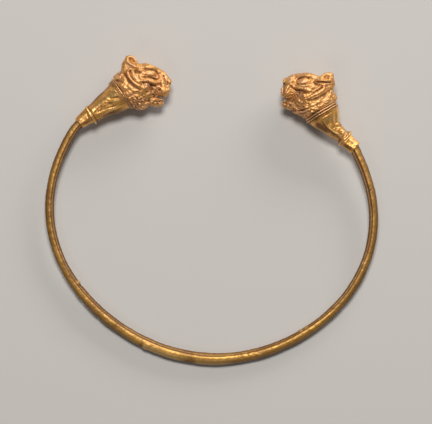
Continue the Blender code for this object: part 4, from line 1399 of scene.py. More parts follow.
# ------------------------------------------------------------------- cones
CONE_LEFT = (
    (-34.9, 0.45, 9.0, 9.2),
    (-30.0, 0.4, 9.4, 9.6),
    (-20.0, 0.5, 11.5, 11.6),
    (-10.0, -0.5, 13.8, 13.9),
    (-4.5, -0.7, 15.2, 15.3),
    (-1.3, -0.4, 16.8, 16.8),
)
LIP_LEFT = ((-37.4, 0.55), (-35.3, 0.45), 10.6)
SLEEVE_LEFT = (
    (-51.3, 0.1, 5.7, 5.7),
    (-50.3, 0.3, 6.3, 6.3),
    (-48.6, 0.6, 6.8, 6.8),
    (-45.0, 0.9, 7.2, 7.2),
    (-41.0, 1.1, 7.9, 7.9),
    (-36.9, 0.9, 8.8, 8.8),
)
CONE_RIGHT = (
    (-29.9, 4.9, 6.8, 8.0),
    (-27.0, 3.9, 7.2, 8.6),
    (-23.0, 2.5, 8.0, 9.6),
    (-18.5, 1.1, 9.0, 10.8),
    (-15.5, 0.4, 9.8, 11.6),
    (-12.2, 0.0, 11.6, 12.6),
    (-8.0, -0.2, 13.9, 14.2),
    (-4.5, -0.3, 15.6, 15.7),
    (-1.3, -0.4, 16.9, 16.9),
)
LIP_RIGHT = ((-33.4, 6.15), (-31.3, 5.5), 9.4)
SLEEVE_RIGHT = (
    (-46.7, 10.1, 6.3, 6.2),
    (-46.1, 9.9, 6.7, 6.6),
    (-42.0, 8.5, 7.0, 7.1),
    (-37.0, 6.8, 7.4, 7.6),
    (-33.0, 5.6, 7.9, 8.3),
)
CORE = 13.6
RIM_LEFT = (-0.45, 0.95, 0.72, 2.1)
RIM_RIGHT = (0.35, 2.85, 1.10, 4.25)
RIM_RADIUS = 17.9

def draw_neck_left(art):
    """Folds, dents and worn ridges of the left neck's beaten sheet."""
    stroke, line, mound, tint = art.stroke, art.line, art.mound, art.tint
    # a soft ridge below the top, the length of the cone
    stroke(((-36, 2.6, 3.0, 0.30), (-30, 3.6, 3.4, 0.50), (-24, 4.4, 2.8, 0.34),
            (-17, 4.2, 3.4, 0.50), (-10, 5.0, 3.8, 0.42), (-3, 5.6, 4.2, 0.52)), 1.1)
    stroke(((-15.6, 6.2, 1.6, 0.30), (-13.8, 3.6, 1.9, 0.42), (-12.8, 1.6, 1.4, 0.28)), 0.8)
    # the bent corner before the rim: a bright face with a sharp lower edge
    stroke(((-11.0, 3.8, 1.6, 0.35), (-7.6, 2.6, 2.2, 0.75), (-4.0, 0.8, 1.8, 0.60)), 0.8)
    stroke(((-6.4, 7.6, 1.5, 0.3), (-3.6, 6.4, 1.6, 0.55), (-2.4, 3.4, 1.1, 0.4)), 0.8)
    line(((-10.4, 2.0), (-7.6, 0.2), (-5.0, -1.4), (-2.8, -2.6)), 0.8, -0.62, 0.8, 0.95)
    line(((-9.4, 9.2), (-7.6, 7.4), (-6.6, 5.6)), 0.8, -0.32, 0.8, 0.5)
    # the pressed-in flank with its mottled, reddish floor
    stroke(((-31, -0.8, 1.8, -0.30), (-25, -0.6, 2.6, -0.42), (-18, -1.4, 2.8, -0.52),
            (-13.2, -3.4, 2.2, -0.48)), 0.9)
    for a, u, r in ((-28.4, 0.4, 1.3), (-25.6, -1.6, 1.2), (-23.6, 0.8, 1.4),
                    (-20.8, -1.2, 1.5), (-18.0, 0.9, 1.2), (-31.0, -0.6, 1.2)):
        mound(a, u, r * 1.25, r * 0.85, 20, -0.20, 0.8, 0.55)
    for a, u, r in ((-26.9, -0.6, 1.0), (-22.2, -0.2, 1.1), (-19.5, 0.6, 0.9),
                    (-16.4, -3.6, 1.1), (-30.0, 1.2, 1.0)):
        mound(a, u, r * 1.3, r * 0.85, -15, 0.20, 0.8)
    tint(-14.4, -1.6, 3.4, 2.0, -55, 0.75)
    tint(-23.0, -0.6, 8.0, 2.3, -6, 0.55)
    mound(-12.9, -5.8, 1.3, 0.8, -10, -0.45, 0.7, 1.0)
    mound(-9.4, -2.6, 2.6, 1.7, -20, 0.42, 0.8)
    mound(-6.2, -4.6, 1.9, 1.4, -30, 0.30, 0.8)
    # the pale crease below, dark along its upper side
    line(((-30.5, -3.2), (-24, -4.6), (-18.5, -6.0), (-14.4, -8.0), (-11.6, -8.8),
          (-8.0, -8.2), (-5.6, -6.8)), 1.0, 0.62, 0.8)
    line(((-29, -1.9), (-22, -3.4), (-17.4, -4.8), (-13.6, -6.6), (-10.4, -7.2)),
         0.75, -0.45, 0.8, 0.8)
    line(((-26, -7.4), (-18, -9.8), (-11, -11.4), (-5, -12.0)), 1.8, -0.42, 0.9, 0.35)
    stroke(((-29, -8.8, 1.4, 0.22), (-18, -12.2, 1.9, 0.34), (-7, -14.6, 1.8, 0.30)), 0.9)
    # beside the rim the sheet is pinched into short pleats
    for u, k in ((10.6, 0.7), (6.8, 0.9), (2.2, 0.8), (-3.4, 1.0), (-6.6, 0.9),
                 (-9.8, 1.0), (-12.6, 0.7)):
        line(((-4.4, u + 0.5), (-2.8, u), (-1.4, u - 0.2)), 0.6, -0.30 * k, 0.8, 0.7)
    # the lip's own dark seat and the wear before it
    line(((-34.6, 8.6), (-34.2, 4.0), (-34.4, -1.0), (-34.8, -6.0)), 0.6, -0.25, 0.8, 0.7)
    mound(-33.0, 1.2, 1.4, 2.2, 0, 0.30, 0.8)
    # pale stretches: wear, and painted highlight along the bright band and the bent corner
    art.rub_and_highlight((-26.0, 4.0, 9.0, 2.2, 6, 0.6), (-14.4, 4.6, 4.4, 2.4, 0, 0.7),
            (-6.4, 3.2, 4.4, 4.0, -30, 0.85), (-33.4, 1.0, 1.8, 4.0, 0, 0.6),
            (-8.6, -3.2, 3.6, 1.8, -20, 0.5), (-18.0, -6.2, 12.0, 1.2, -20, 0.5),
            (-45.6, 1.6, 5.6, 3.2, 8, 0.5), (-49.0, 1.4, 2.0, 2.6, 0, 0.4))
    # browns: along the top edge and over the whole lower side as painted shade, and in two
    # bands beside the rim
    tint(-20.0, 10.6, 17.0, 2.4, 9, 0.62)
    tint(-6.0, 12.6, 6.0, 2.2, 12, 0.5)
    tint(-19.0, -12.6, 19.0, 4.2, -13, 0.72)
    tint(-3.4, -6.0, 2.4, 8.0, 0, 0.42)
    tint(-2.0, 4.0, 1.1, 14.0, 0, 0.7)
    # the sleeve: a groove under its top edge, a worn shoulder, a foot darkened with painted
    # shade
    line(((-50.0, 5.0), (-46.0, 6.0), (-42.0, 6.7), (-38.6, 7.4)), 0.6, -0.32, 0.8, 0.9)
    line(((-50.4, 6.2), (-46.0, 7.2), (-42.0, 7.9), (-38.6, 8.6)), 0.7, 0.16, 0.8)
    stroke(((-50.6, 1.8, 1.6, 0.16), (-45.0, 2.2, 2.4, 0.26), (-39.6, 3.0, 2.2, 0.20)), 0.9)
    for a, u, r in ((-48.6, 0.4, 1.2), (-46.0, 3.4, 1.0), (-44.2, 0.0, 1.3),
                    (-42.0, 3.0, 1.1), (-40.2, -0.8, 1.2), (-47.4, 2.4, 0.8)):
        mound(a, u, r * 1.2, r * 0.8, 25, -0.13, 0.8, 0.5)
    tint(-45.0, -3.4, 7.0, 1.8, -14, 0.75)
    line(((-38.6, 8.4), (-39.2, 3.6), (-40.0, -1.0), (-40.6, -4.2)), 0.7, -0.30, 0.8, 1.0)


def draw_neck_right(art):
    """Folds, dents and worn ridges of the right neck's beaten sheet."""
    stroke, line, mound, tint = art.stroke, art.line, art.mound, art.tint
    # the sharp fold climbing to the rim, its upper face bright
    stroke(((-18.0, 6.4, 1.1, 0.25), (-14.0, 8.6, 1.5, 0.62), (-9.6, 11.2, 1.9, 0.85),
            (-5.0, 13.6, 1.9, 0.65), (-2.4, 14.6, 1.4, 0.3)), 0.75)
    stroke(((-16.6, 4.4, 1.3, -0.28), (-12.0, 6.8, 1.5, -0.40), (-7.0, 9.0, 1.5, -0.30)), 0.9)
    # the flare's broad face, dented and reddish
    stroke(((-13.4, 2.0, 2.2, 0.22), (-9.6, 3.8, 2.8, 0.42), (-6.0, 6.4, 2.6, 0.30)), 0.9)
    for a, u, r in ((-11.6, 0.6, 1.2), (-9.0, 1.2, 1.1), (-7.4, 3.0, 1.1),
                    (-10.4, 5.8, 0.9), (-6.4, 0.0, 1.1), (-12.8, 3.6, 0.8)):
        mound(a, u, r * 1.5, r * 1.0, 35, -0.09, 0.9, 0.30)
    # where the narrow part meets the flare
    stroke(((-19.2, 9.4, 1.2, -0.25), (-18.6, 5.4, 1.6, -0.45), (-17.6, 1.6, 1.4, -0.35)),
           0.9, 0.55)
    # the narrow part: bright shoulder, olive hollow below it
    stroke(((-31.6, 8.8, 2.2, 0.26), (-27.0, 8.0, 2.4, 0.40), (-21.6, 7.0, 2.0, 0.28)), 0.9)
    stroke(((-29.6, 4.8, 1.6, -0.30), (-25.0, 4.0, 1.9, -0.42), (-20.4, 2.8, 1.6, -0.34)),
           0.9, 0.35)
    # the pale crease with the deep brown line below it
    line(((-33.6, 3.9), (-29.6, 2.8), (-26.0, 1.9), (-21.4, -0.9), (-15.6, -3.0),
          (-10.6, -4.0), (-6.4, -4.1)), 0.95, 0.80, 0.8)
    line(((-31.0, 1.2), (-26.4, 0.2), (-21.8, -2.6), (-16.4, -4.6), (-11.0, -5.6),
          (-6.0, -5.6)), 1.15, -0.85, 0.8, 1.0)
    line(((-15.6, -4.9), (-11.4, -5.7), (-7.2, -5.6)), 0.9, -0.35, 0.8, 1.3)
    # the under side: pitted, with a pale lower edge (it is darkened below with painted shade)
    stroke(((-27.0, -2.2, 1.0, 0.25), (-20.0, -6.4, 1.3, 0.42), (-13.0, -10.6, 1.5, 0.45),
            (-6.0, -14.2, 1.4, 0.40)), 0.9)
    stroke(((-20.0, -4.4, 1.2, -0.22), (-13.6, -8.0, 1.8, -0.40), (-6.6, -10.2, 2.2, -0.35)),
           0.9)
    for a, u, r in ((-11.2, -8.0, 0.6), (-9.0, -8.7, 0.55), (-7.6, -7.4, 0.5),
                    (-13.4, -7.2, 0.5), (-6.4, -10.4, 0.6), (-9.8, -10.8, 0.5),
                    (-4.8, -8.4, 0.5), (-15.6, -6.6, 0.4)):
        mound(a, u, r * 1.3, r, 20, -0.30, 0.8, 1.0)
    for u, k in ((13.2, 0.5), (9.6, 0.8), (6.6, 0.7), (3.8, 0.9), (0.8, 0.8), (-2.6, 1.0),
                 (-7.0, 0.9), (-10.2, 1.0), (-13.0, 0.8)):
        line(((-4.2, u + 0.4), (-2.8, u), (-1.4, u - 0.1)), 0.55, -0.28 * k, 0.8, 0.7)
    line(((-3.6, 15.0), (-3.2, 8.0), (-3.3, 0.0), (-3.4, -8.0), (-3.0, -14.0)),
         0.75, -0.20, 0.8, 0.55)
    # pale stretches: wear, and painted highlight on the fold's upper face, the shoulder and
    # the sleeve
    art.rub_and_highlight((-9.0, 11.4, 9.0, 2.4, 32, 1.0), (-9.4, 5.0, 4.4, 5.0, 20, 0.7),
            (-27.0, 8.6, 5.6, 3.0, -12, 0.75), (-8.0, 0.0, 3.4, 2.4, 0, 0.4),
            (-21.0, -0.6, 14.0, 1.1, -18, 0.7), (-13.0, -11.0, 9.0, 1.0, -31, 0.5),
            (-41.0, 11.6, 6.4, 2.6, -20, 0.8), (-33.0, 9.0, 1.6, 5.0, 14, 0.4))
    # browns: the under side darkened as painted shade, and browns along the crease, below the
    # shoulder and beside the rim
    tint(-12.0, -8.6, 10.0, 4.0, -28, 1.25)
    tint(-24.0, -2.6, 6.0, 1.5, -24, 0.7)
    tint(-2.6, 3.0, 1.6, 13.0, 0, 0.65)
    tint(-2.4, -9.0, 1.9, 6.0, 0, 0.6)
    tint(-26.0, 4.0, 4.4, 1.4, -10, 0.45)
    line(((-29.4, 11.6), (-30.4, 7.0), (-31.8, 2.0), (-32.8, -1.0)), 0.6, -0.25, 0.8, 0.7)
    # the sleeve: a bright upper face, partly painted highlight, a ridge, then an under side
    # darkened with painted shade
    stroke(((-48.2, 8.0, 0.9, 0.20), (-44.0, 7.4, 1.0, 0.32), (-40.0, 5.4, 1.0, 0.32),
            (-35.6, 2.8, 0.9, 0.26)), 0.8)
    line(((-48.0, 6.8), (-44.0, 6.0), (-40.0, 3.9), (-35.6, 1.2)), 0.8, -0.30, 0.8, 0.8)
    stroke(((-47.4, 12.6, 1.2, 0.16), (-43.0, 12.4, 1.6, 0.22), (-37.0, 10.2, 1.5, 0.20)), 0.9)
    stroke(((-47.0, 10.4, 1.0, -0.15), (-42.6, 10.0, 1.4, -0.22), (-37.0, 7.6, 1.2, -0.18)),
           0.9, 0.25)
    tint(-41.6, 3.0, 7.4, 1.8, -26, 0.9)
    line(((-32.6, 13.0), (-33.4, 9.6), (-34.2, 6.4), (-35.2, 3.0)), 0.7, -0.30, 0.8, 1.0)


def neck_art(side, seed):
    art = Relief(seed, (-54.0, -22.0), (448, 352), 0.42)
    (draw_neck_left if side == "left" else draw_neck_right)(art)
    art.finish(0.24)
    upper = 1 if np.array(NECKS[side])[2, 2] > 0 else -1
    return art, upper


def build_cone(side, stations, lip, rim, seed):
    place = NECKS[side]
    around = 232
    (a0, u0), (a1, u1), lip_half = lip
    tilt = math.atan2(u1 - u0, a1 - a0)
    body_rows = np.linspace(stations[0][0], stations[-1][0], 190)
    body, out, turn = loft(stations, body_rows, around)
    art, upper = neck_art(side, seed + 40)
    flat = body.reshape(-1, 3)
    rise = art.over("height", flat, upper).reshape(turn.shape)
    brown = art.over("brown", flat, upper).reshape(turn.shape)
    bright = art.over("bright", flat, upper).reshape(turn.shape)
    lumps = 0.15 * waves(flat, 15.0, seed) + 0.08 * waves(flat, 6.0, seed + 1)
    lumps += 0.03 * waves(flat, 2.2, seed + 2, 14)
    lumps = lumps.reshape(turn.shape) * (0.35 + 0.65 * smooth(np.abs(body[..., 2]), 1, 6))
    fade = smooth(body_rows, stations[0][0], stations[0][0] + 2)[:, None]
    fade = fade * (1 - 0.8 * smooth(body_rows, -2.4, -1.3)[:, None])
    body = body + out * ((lumps + rise) * fade)[..., None]
    # the lip: a thin turned flange, uneven in width
    head = []
    half = lip_half
    for a, r in ((a0 + 1.0, 7.4 if side == "left" else 6.6), (a0 + 0.55, half * 0.72),
                 (a0 + 0.30, half * 0.83), (a0 + 0.05, half * 0.91),
                 (a0, half * 0.965), (a0 + 0.16, half * 0.995), (a0 + 0.45, half * 1.0),
                 (a0 + 0.80, half * 0.985), (a1 - 0.75, half * 0.94),
                 (a1 - 0.35, half * 0.90), (a1 - 0.02, half * 0.865)):
        k = (a - a0) / (a1 - a0)
        head.append(ring_at(a, u0 + (u1 - u0) * k, r, around, tilt))
    head = np.array(head)
    t = 2 * math.pi * (np.arange(around) + 0.5) / around
    wobble = 0.26 * np.sin(2 * t + seed) + 0.20 * np.sin(3 * t + 2 * seed)
    wobble += 0.12 * np.sin(7 * t + seed) + 0.07 * np.sin(13 * t + 3 * seed)
    grow = np.ones(len(head))
    grow[:2] = 0.2
    middle = head.mean(1, keepdims=True)
    away = head - middle
    away /= np.linalg.norm(away, axis=2, keepdims=True)
    head = head + away * (wobble[None, :] * grow[:, None])[..., None]
    head[..., 0] += (0.20 * np.sin(t + 0.7 * seed) + 0.12 * np.sin(3 * t + seed))[None, :]
    # the wide end turns in under the rim wires and runs on as the core
    a, u = stations[-1][:2]
    tail = [ring_at(a + 0.12, u, 16.6, around), ring_at(a + 0.18, u, 15.4, around),
            ring_at(a + 0.2, u, CORE, around), ring_at(rim[3] - 0.25, u, CORE, around)]
    grid = np.concatenate([head, body, np.array(tail)])
    pad0, pad1 = len(head), len(tail)

    def padded(values, first=0.0, last=0.0):
        return np.vstack([np.full((pad0, around), first), values,
                          np.full((pad1, around), last)])

    hollow_and_shade = brown + 0.06
    hollow_and_shade += 0.55 * bell(body_rows - stations[0][0] + 0.2, 1.0)[:, None]
    hollow_and_shade += 0.30 * smooth(body_rows, -2.6, -1.5)[:, None]
    # painted shade: the sheet is browner round its edges, where it turns sideways, than on its
    # faces
    hollow_and_shade += 0.42 * (1 - smooth(np.abs(body[..., 2]), 1.0, 9.5))
    spots = np.zeros(turn.shape)
    places = {
        "left": ((-15.0, -1.6, 2.2, 0.30), (-12.9, -5.8, 1.0, 0.45), (-4.0, -9.6, 1.4, 0.3)),
        "right": ((-11.0, -5.6, 1.6, 0.35), (-11.1, -8.1, 0.8, 0.5),
                  (-8.9, -8.6, 0.8, 0.5), (-3.0, -11.5, 1.6, 0.5)),
    }[side]
    for sa, su, r, strength in places:
        spots += strength * np.exp(
            -((body[..., 0] - sa) ** 2 + (body[..., 1] - su) ** 2) / r**2
        ) * smooth(body[..., 2] * upper, -2, 3)
    hollow_and_shade_all = padded(hollow_and_shade, 0.22, 0.6)
    hollow_and_shade_all[0] = 1.0
    hollow_and_shade_all[1] = 0.9
    hollow_and_shade_all[2] = 0.6
    hollow_and_shade_all[pad0 - 2:pad0] = 0.5
    worn_all = padded(bright)
    worn_all[4:8] = 0.7
    return shell_piece(
        f"neck_cone_{side}", grid, neck_gold, [f"cone_{side}"], "collar_gold", place,
        cavity=np.clip(hollow_and_shade_all, 0, 1), dirt=padded(spots, 0.0, 0.3),
        worn=np.clip(worn_all, 0, 1),
    )


# ----------------------------------------------------------------- sleeves
def smooth_rows(field, times=5):
    """Evens a grid of values a little, closed across and open along."""
    for _ in range(times):
        near = 0.5 * field + 0.25 * (np.roll(field, 1, 1) + np.roll(field, -1, 1))
        inner = 0.5 * near[1:-1] + 0.25 * (near[:-2] + near[2:])
        field = np.vstack([near[:1], inner, near[-1:]])
    return field


def build_sleeve(side, stations, seed, facets):
    place = NECKS[side]
    around = 192
    rows = np.linspace(stations[0][0] + 0.25, stations[-1][0], 96)
    body, out, turn = loft(stations, rows, around)
    # flattened in strips along its length, each a little different
    t = turn[0]
    cut = np.zeros(around)
    for middle, width, depth in facets:
        gap = (np.degrees(t) - middle + 180) % 360 - 180
        x = np.clip(1 - (gap / width) ** 2, 0, None)
        cut = np.maximum(cut, 0.6 * depth * x)
    flat = body.reshape(-1, 3)
    art, upper = neck_art(side, seed + 60)
    rise = art.over("height", flat, upper).reshape(turn.shape)
    brown = art.over("brown", flat, upper).reshape(turn.shape)
    bright = art.over("bright", flat, upper).reshape(turn.shape)
    lumps = (0.09 * waves(flat, 8.0, seed) + 0.015 * waves(flat, 2.4, seed + 1)).reshape(
        turn.shape
    )
    along = smooth(rows, rows[0], rows[0] + 2.2)
    # the sheet is drawn smoother here than on the flare
    rise = 0.45 * rise + 0.55 * smooth_rows(rise)
    body = body + out * (lumps + (rise - cut[None, :]) * along[:, None])[..., None]
    a0, u0, half = stations[0][:3]
    a1, u1, half1 = stations[-1][:3]
    slope = (stations[1][1] - u0) / (stations[1][0] - a0)
    lean = math.atan(slope)
    slope1 = (u1 - stations[-2][1]) / (a1 - stations[-2][0])
    mouth = [ring_at(a0 + far, u0 + far * slope, half * share, around, lean)
             for far, share in ((2.4, 0.80), (0.5, 0.83), (0.06, 0.88), (0.0, 0.94),
                                (0.08, 0.985))]
    grid = np.concatenate(
        [np.array(mouth), body,
         ring_at(a1 + 0.05, u1, half1 * 0.8, around, math.atan(slope1))[None]]
    )
    hollow_and_shade = 0.12 + brown + 0.9 * bell(rows - a1, 0.9)[:, None]
    # painted shade: darker round its edges, where it turns sideways
    hollow_and_shade = hollow_and_shade + 0.25 * (1 - smooth(np.abs(body[..., 2]), 0.5, 3.5))
    rows_in = len(mouth)
    hollow_and_shade = np.vstack([np.full((1, around), 1.0), np.full((1, around), 0.9),
                        np.full((rows_in - 2, around), 0.35), hollow_and_shade,
                        np.full((1, around), 0.9)])
    worn = np.vstack([np.zeros((2, around)), np.full((rows_in - 2, around), 0.5), bright,
                      np.zeros((1, around))])
    dirt = np.zeros_like(worn)
    dirt[:2] = 0.4
    return shell_piece(
        f"sleeve_collar_{side}", grid, neck_gold, [f"sleeve_{side}"], "collar_gold",
        place, cavity=np.clip(hollow_and_shade, 0, 1), dirt=dirt, worn=np.clip(worn, 0, 1),
    )


# --------------------------------------------------------------- rim wires
def build_rim(side, rim, seed):
    """Two wires side by side round the wide end, hand laid."""
    place = NECKS[side]
    sign = 1 if side == "left" else -1
    around = 300
    first, second, wire, head_start = rim
    low, high = CONE_LEFT[-1][0] + 0.2, head_start - 0.15
    centre = CONE_LEFT[-1][1]
    t = 2 * math.pi * (np.arange(around) + 0.5) / around
    rng = np.random.default_rng(seed)
    sway = [sum(rng.normal() * 0.06 * np.cos(k * t + rng.uniform(0, 6.28))
                for k in (1, 2, 3, 5, 9)) for _ in range(3)]
    grid, cavity, worn = [], [], []
    profile = [(low + 0.1, 13.9, 0, 1.0, 0.0), (low, RIM_RADIUS - wire * 1.7, 0, 0.9, 0)]
    steps = 12
    for which, middle in ((0, first), (1, second)):
        for k in range(steps + 1):
            angle = math.radians(198 - 216 * k / steps)
            a = middle + wire * 0.86 * math.cos(angle)
            r = RIM_RADIUS - wire + wire * math.sin(angle)
            shade = smooth(np.array(-math.sin(angle)), -0.75, 0.3)
            profile.append((a, r, which + 1, float(shade), float(math.sin(angle) > 0.6)))
        profile.append(
            (middle + wire * 0.95 if which == 0 else high, RIM_RADIUS - wire * 1.9,
             0, 1.0, 0.0)
        )
    profile.append((high, 13.9, 0, 1.0, 0.0))
    # the first wire of the left rim lies lower; the right one ends in a bead
    low_wire = 0.55 if side == "left" else 0.15
    bead = 0.0
    if side == "right":
        bead = 0.85 * bell(np.degrees(t) - 178.0, 4.2)
    nick = sum(0.16 * bell((np.degrees(t) - rng.uniform(0, 360) + 180) % 360 - 180,
                           rng.uniform(1.2, 2.6)) for _ in range(26))
    fine = sum(rng.normal() * 0.035 * np.cos(k * t + rng.uniform(0, 6.28))
               for k in range(12, 40))
    for a, r, which, shade, top in profile:
        rr = r + (sway[0] if which == 1 else sway[1] if which == 2 else 0) * 0.7
        if which:
            rr = rr - nick * top + fine * 0.6
        if which == 1:
            rr = rr - low_wire + bead * (0.35 + 0.65 * top)
        aa = a + (sway[2] if which else 0) * 0.9
        up = rr * np.cos(t)
        row = np.stack([np.clip(aa, low, high) + 0 * t, centre + up, rr * np.sin(t)], -1)
        grid.append(row)
        cavity.append(np.clip(
            shade + (0.10 + nick * 1.6 + (0.32 if which == 1 and side == "left" else 0)
                     if which else 0), 0, 1) + 0 * t)
        worn.append(np.full(around, (0.35 if which == 1 else 0.6) * top))
    grid = np.array(grid)
    rows = len(grid)
    points = grid.reshape(-1, 3)
    world = to_world(points, place)
    world[:, 2] = np.maximum(world[:, 2], 0.0)
    ring = rings_to_faces(rows + 1, around) % (rows * around)
    faces = ring.tolist()
    dirt = np.zeros((rows, around))
    earth = ((0.9, -11.5, 3.0, 0.5),) if side == "left" else ((2.4, -11.0, 3.6, 0.85),)
    shade = np.array(cavity)
    for sa, su, r, strength in earth:
        dirt += strength * shade * np.exp(-((grid[..., 1] - su) ** 2) / r**2) * smooth(
            grid[..., 2] * sign, -2, 3
        )
    made = piece(
        f"rim_wires_{side}", world, faces, wire_gold, [f"rim_wire_{side}"], "wire_gold",
        cavity=shade.ravel(), dirt=dirt.ravel(), worn=np.array(worn).ravel(),
    )
    if signed_volume(world, faces) < 0:
        made.data.flip_normals()
    return made


# -------------------------------------------------------------------- hoop
HOOP_RADIUS = 34.21
HOOP_CENTRE_Y = 1.41
HOOP_LOBES = {2: (0.310, -0.577), 3: (-0.074, -0.855), 4: (0.514, -0.106)}
HOOP_START, HOOP_END = -207.5, 15.5
HOOP_THICKNESS = (
    (-212.0, 1.93),
    (-157.0, 1.93),
    (-143.0, 2.28),
    (-120.0, 2.43),
    (-96.0, 2.58),
    (-84.0, 2.43),
    (-65.0, 2.27),
    (-45.0, 2.02),
    (-30.0, 1.95),
    (8.0, 1.98),
    (20.0, 2.10),
)


def hoop_points(degrees):
    t = np.radians(degrees)
    r = HOOP_RADIUS + 0 * t
    for lobes, (c, s) in HOOP_LOBES.items():
        r = r + c * np.cos(lobes * t) + s * np.sin(lobes * t)
    return np.stack([r * np.cos(t), HOOP_CENTRE_Y + r * np.sin(t), 0 * t], -1)


def in_plane(place):
    return RESTING.inverted() @ place


def sleeve_mouth(side, a, u, slope):
    """Where the hoop ends inside a sleeve, and its direction there."""
    place = in_plane(NECKS[side])
    at = place @ (Vector((a, u, 0)) * UNIT)
    way = place.to_3x3() @ Vector((1, slope, 0))
    return np.array(at), np.array(way.normalized())


def ease(p0, v0, p1, v1, s):
    s = s[:, None]
    return (
        p0 * (2 * s**3 - 3 * s**2 + 1)
        + v0 * (s**3 - 2 * s**2 + s)
        + p1 * (3 * s**2 - 2 * s**3)
        + v1 * (s**3 - s**2)
    )


def build_hoop():
    steps = 1240
    ends = 40
    around = 48
    mouth, way = sleeve_mouth("left", -49.6, 0.4, 0.20)
    t = np.linspace(HOOP_START, HOOP_END, steps + 1)
    main = hoop_points(t)
    head_way = main[1] - main[0]
    head_way /= np.linalg.norm(head_way)
    reach = np.linalg.norm(main[0] - mouth)
    s = np.arange(ends) / ends
    start = ease(mouth, -way * reach, main[0], head_way * reach, s)
    start_t = HOOP_START - reach / HOOP_RADIUS * 57.3 * (1 - s)
    mouth_r, way_r = sleeve_mouth("right", -44.6, 9.3, 0.10)
    tail_way = main[-1] - main[-2]
    tail_way /= np.linalg.norm(tail_way)
    reach_r = np.linalg.norm(mouth_r - main[-1])
    s = np.arange(1, ends + 1) / ends
    stop = ease(main[-1], tail_way * reach_r, mouth_r, way_r * reach_r, s)
    stop_t = HOOP_END + reach_r / HOOP_RADIUS * 57.3 * s
    path = np.vstack([start, main, stop])
    t = np.concatenate([start_t, t, stop_t])
    tangent = np.gradient(path, axis=0)
    tangent /= np.linalg.norm(tangent, axis=1)[:, None]
    outward = np.stack([tangent[:, 1], -tangent[:, 0], 0 * t], -1)
    f = 360.0 * np.arange(around) / around  # degrees round, 0 out, 90 up
    tt, ff = t[:, None], f[None, :]
    radius = np.interp(t, *np.array(HOOP_THICKNESS).T)[:, None] / 2

    def near_f(middle, width):
        return bell((ff - middle + 180) % 360 - 180, width)

    def near_t(middle, width):
        return bell(tt - middle, width)

    low = np.maximum(0.0, -np.sin(np.radians(tt)))
    wander = 2.5 * np.sin(np.radians(tt * 5)) + 1.6 * np.sin(np.radians(tt * 13 + 40))
    seam = 117.0 + 7.0 * low * low + wander
    gap = (ff - seam + 180) % 360 - 180
    # the rolled sheet's open edge: a groove with a thin raised lip inside it
    open_end = smooth(tt, -7.0, 0.0)
    clear = 0.45 + 0.55 * smooth(-tt, 150.0, 160.0) + 0.55 * smooth(tt, -50.0, -42.0)
    deep = 0.15 * clear + 0.22 * open_end
    width = 6.5 + 4.0 * open_end
    seam_cut = deep * bell(gap, width)
    lip = 0.075 * clear * bell(gap - 12.0 - 4 * open_end, 4.5)
    lip += 0.035 * clear * bell(gap + 11.0 + 4 * open_end, 5.0)
    # a second, fainter overlap line on the outer side round the bottom
    fold = 0.035 * bell((ff - 52.0 - 6 * np.sin(np.radians(tt * 3)) + 180) % 360 - 180,
                        4.5) * smooth(tt, -140, -118) * (1 - smooth(tt, -84, -70))
    step = 0.0
    # the sheet's edge steps out at -116 and lies proud as far as -101
    step = step + 0.11 * smooth(tt, -116.4, -115.4) * (1 - smooth(tt, -103, -98)) * near_f(
        35.0, 38.0
    )
    step = step + 0.09 * smooth(tt, -96.2, -95.0) * (1 - smooth(tt, -86, -80)) * near_f(
        20.0, 50.0
    )
    bumps = 0.15 * (near_t(-54.9, 0.7) + 0.8 * near_t(-52.6, 0.9)) * near_f(172, 40)
    bumps = bumps + 0.06 * near_t(-72, 1.0) * near_f(70, 22)
    # burrs: one lifted inwards at -149, one standing out at -115
    bumps = bumps + 0.22 * near_t(-149.4, 0.55) * near_f(172, 34)
    bumps = bumps + 0.13 * near_t(-115.0, 0.5) * near_f(8, 34)
    bumps = bumps + 0.07 * near_t(-21.5, 0.6) * near_f(110, 25)
    nicks = (
        0.20 * near_t(-148.0, 0.6) * near_f(160, 38)
        + 0.20 * near_t(-143.4, 0.7) * near_f(6, 36)
        + 0.18 * near_t(-135.1, 0.6) * near_f(6, 34)
        + 0.07 * near_t(-20.2, 0.5) * near_f(150, 34)
        + 0.12 * near_t(6.0, 0.6) * near_f(170, 34)
        + 0.09 * near_t(-76.5, 0.5) * near_f(110, 30)
        + 0.07 * near_t(-79.0, 0.4) * near_f(80, 26)
        + 0.06 * near_t(-128.0, 0.5) * near_f(80, 30)
        + 0.06 * near_t(-170.0, 0.5) * near_f(60, 25)
    )
    around_unit = np.stack(
        [np.broadcast_to(tt, gap.shape) * 0.6, np.cos(np.radians(ff)) + 0 * tt,
         np.sin(np.radians(ff)) + 0 * tt], -1
    ).reshape(-1, 3)
    lumps = 0.022 * waves(around_unit, 4.2, 51) + 0.015 * waves(around_unit, 1.5, 52, 12)
    lumps += 0.012 * waves(around_unit, 0.7, 54, 16)
    lumps = lumps.reshape(gap.shape)
    # hammered facets, dragged lines and dints all along it
    rng = np.random.default_rng(57)
    marks = np.zeros(gap.shape)
    for _ in range(150):
        at, way = rng.uniform(-208, 16), rng.uniform(10, 350)
        long, wide = rng.uniform(0.5, 1.6), rng.uniform(10, 26)
        high = rng.choice((-1, 1)) * rng.uniform(0.010, 0.030)
        near = np.abs(t - at) < 4 * long
        marks[near] += high * bell(t[near][:, None] - at, long) * bell(
            (ff - way + 180) % 360 - 180, wide
        )
    for _ in range(46):
        at, way = rng.uniform(-205, 14), rng.uniform(15, 165)
        long, slope = rng.uniform(4.0, 16.0), rng.uniform(-0.7, 0.7)
        near = np.abs(t - at) < 3 * long
        marks[near] -= rng.uniform(0.018, 0.040) * bell(t[near][:, None] - at, long) * bell(
            (ff - way - slope * (t[near][:, None] - at) + 180) % 360 - 180, 3.4
        )
    lumps = lumps + marks
    rough = smooth(tt, -84, -80) * (1 - smooth(tt, -72, -68)) * 0.018
    lumps = lumps + rough * waves(around_unit, 0.6, 53, 16).reshape(gap.shape)
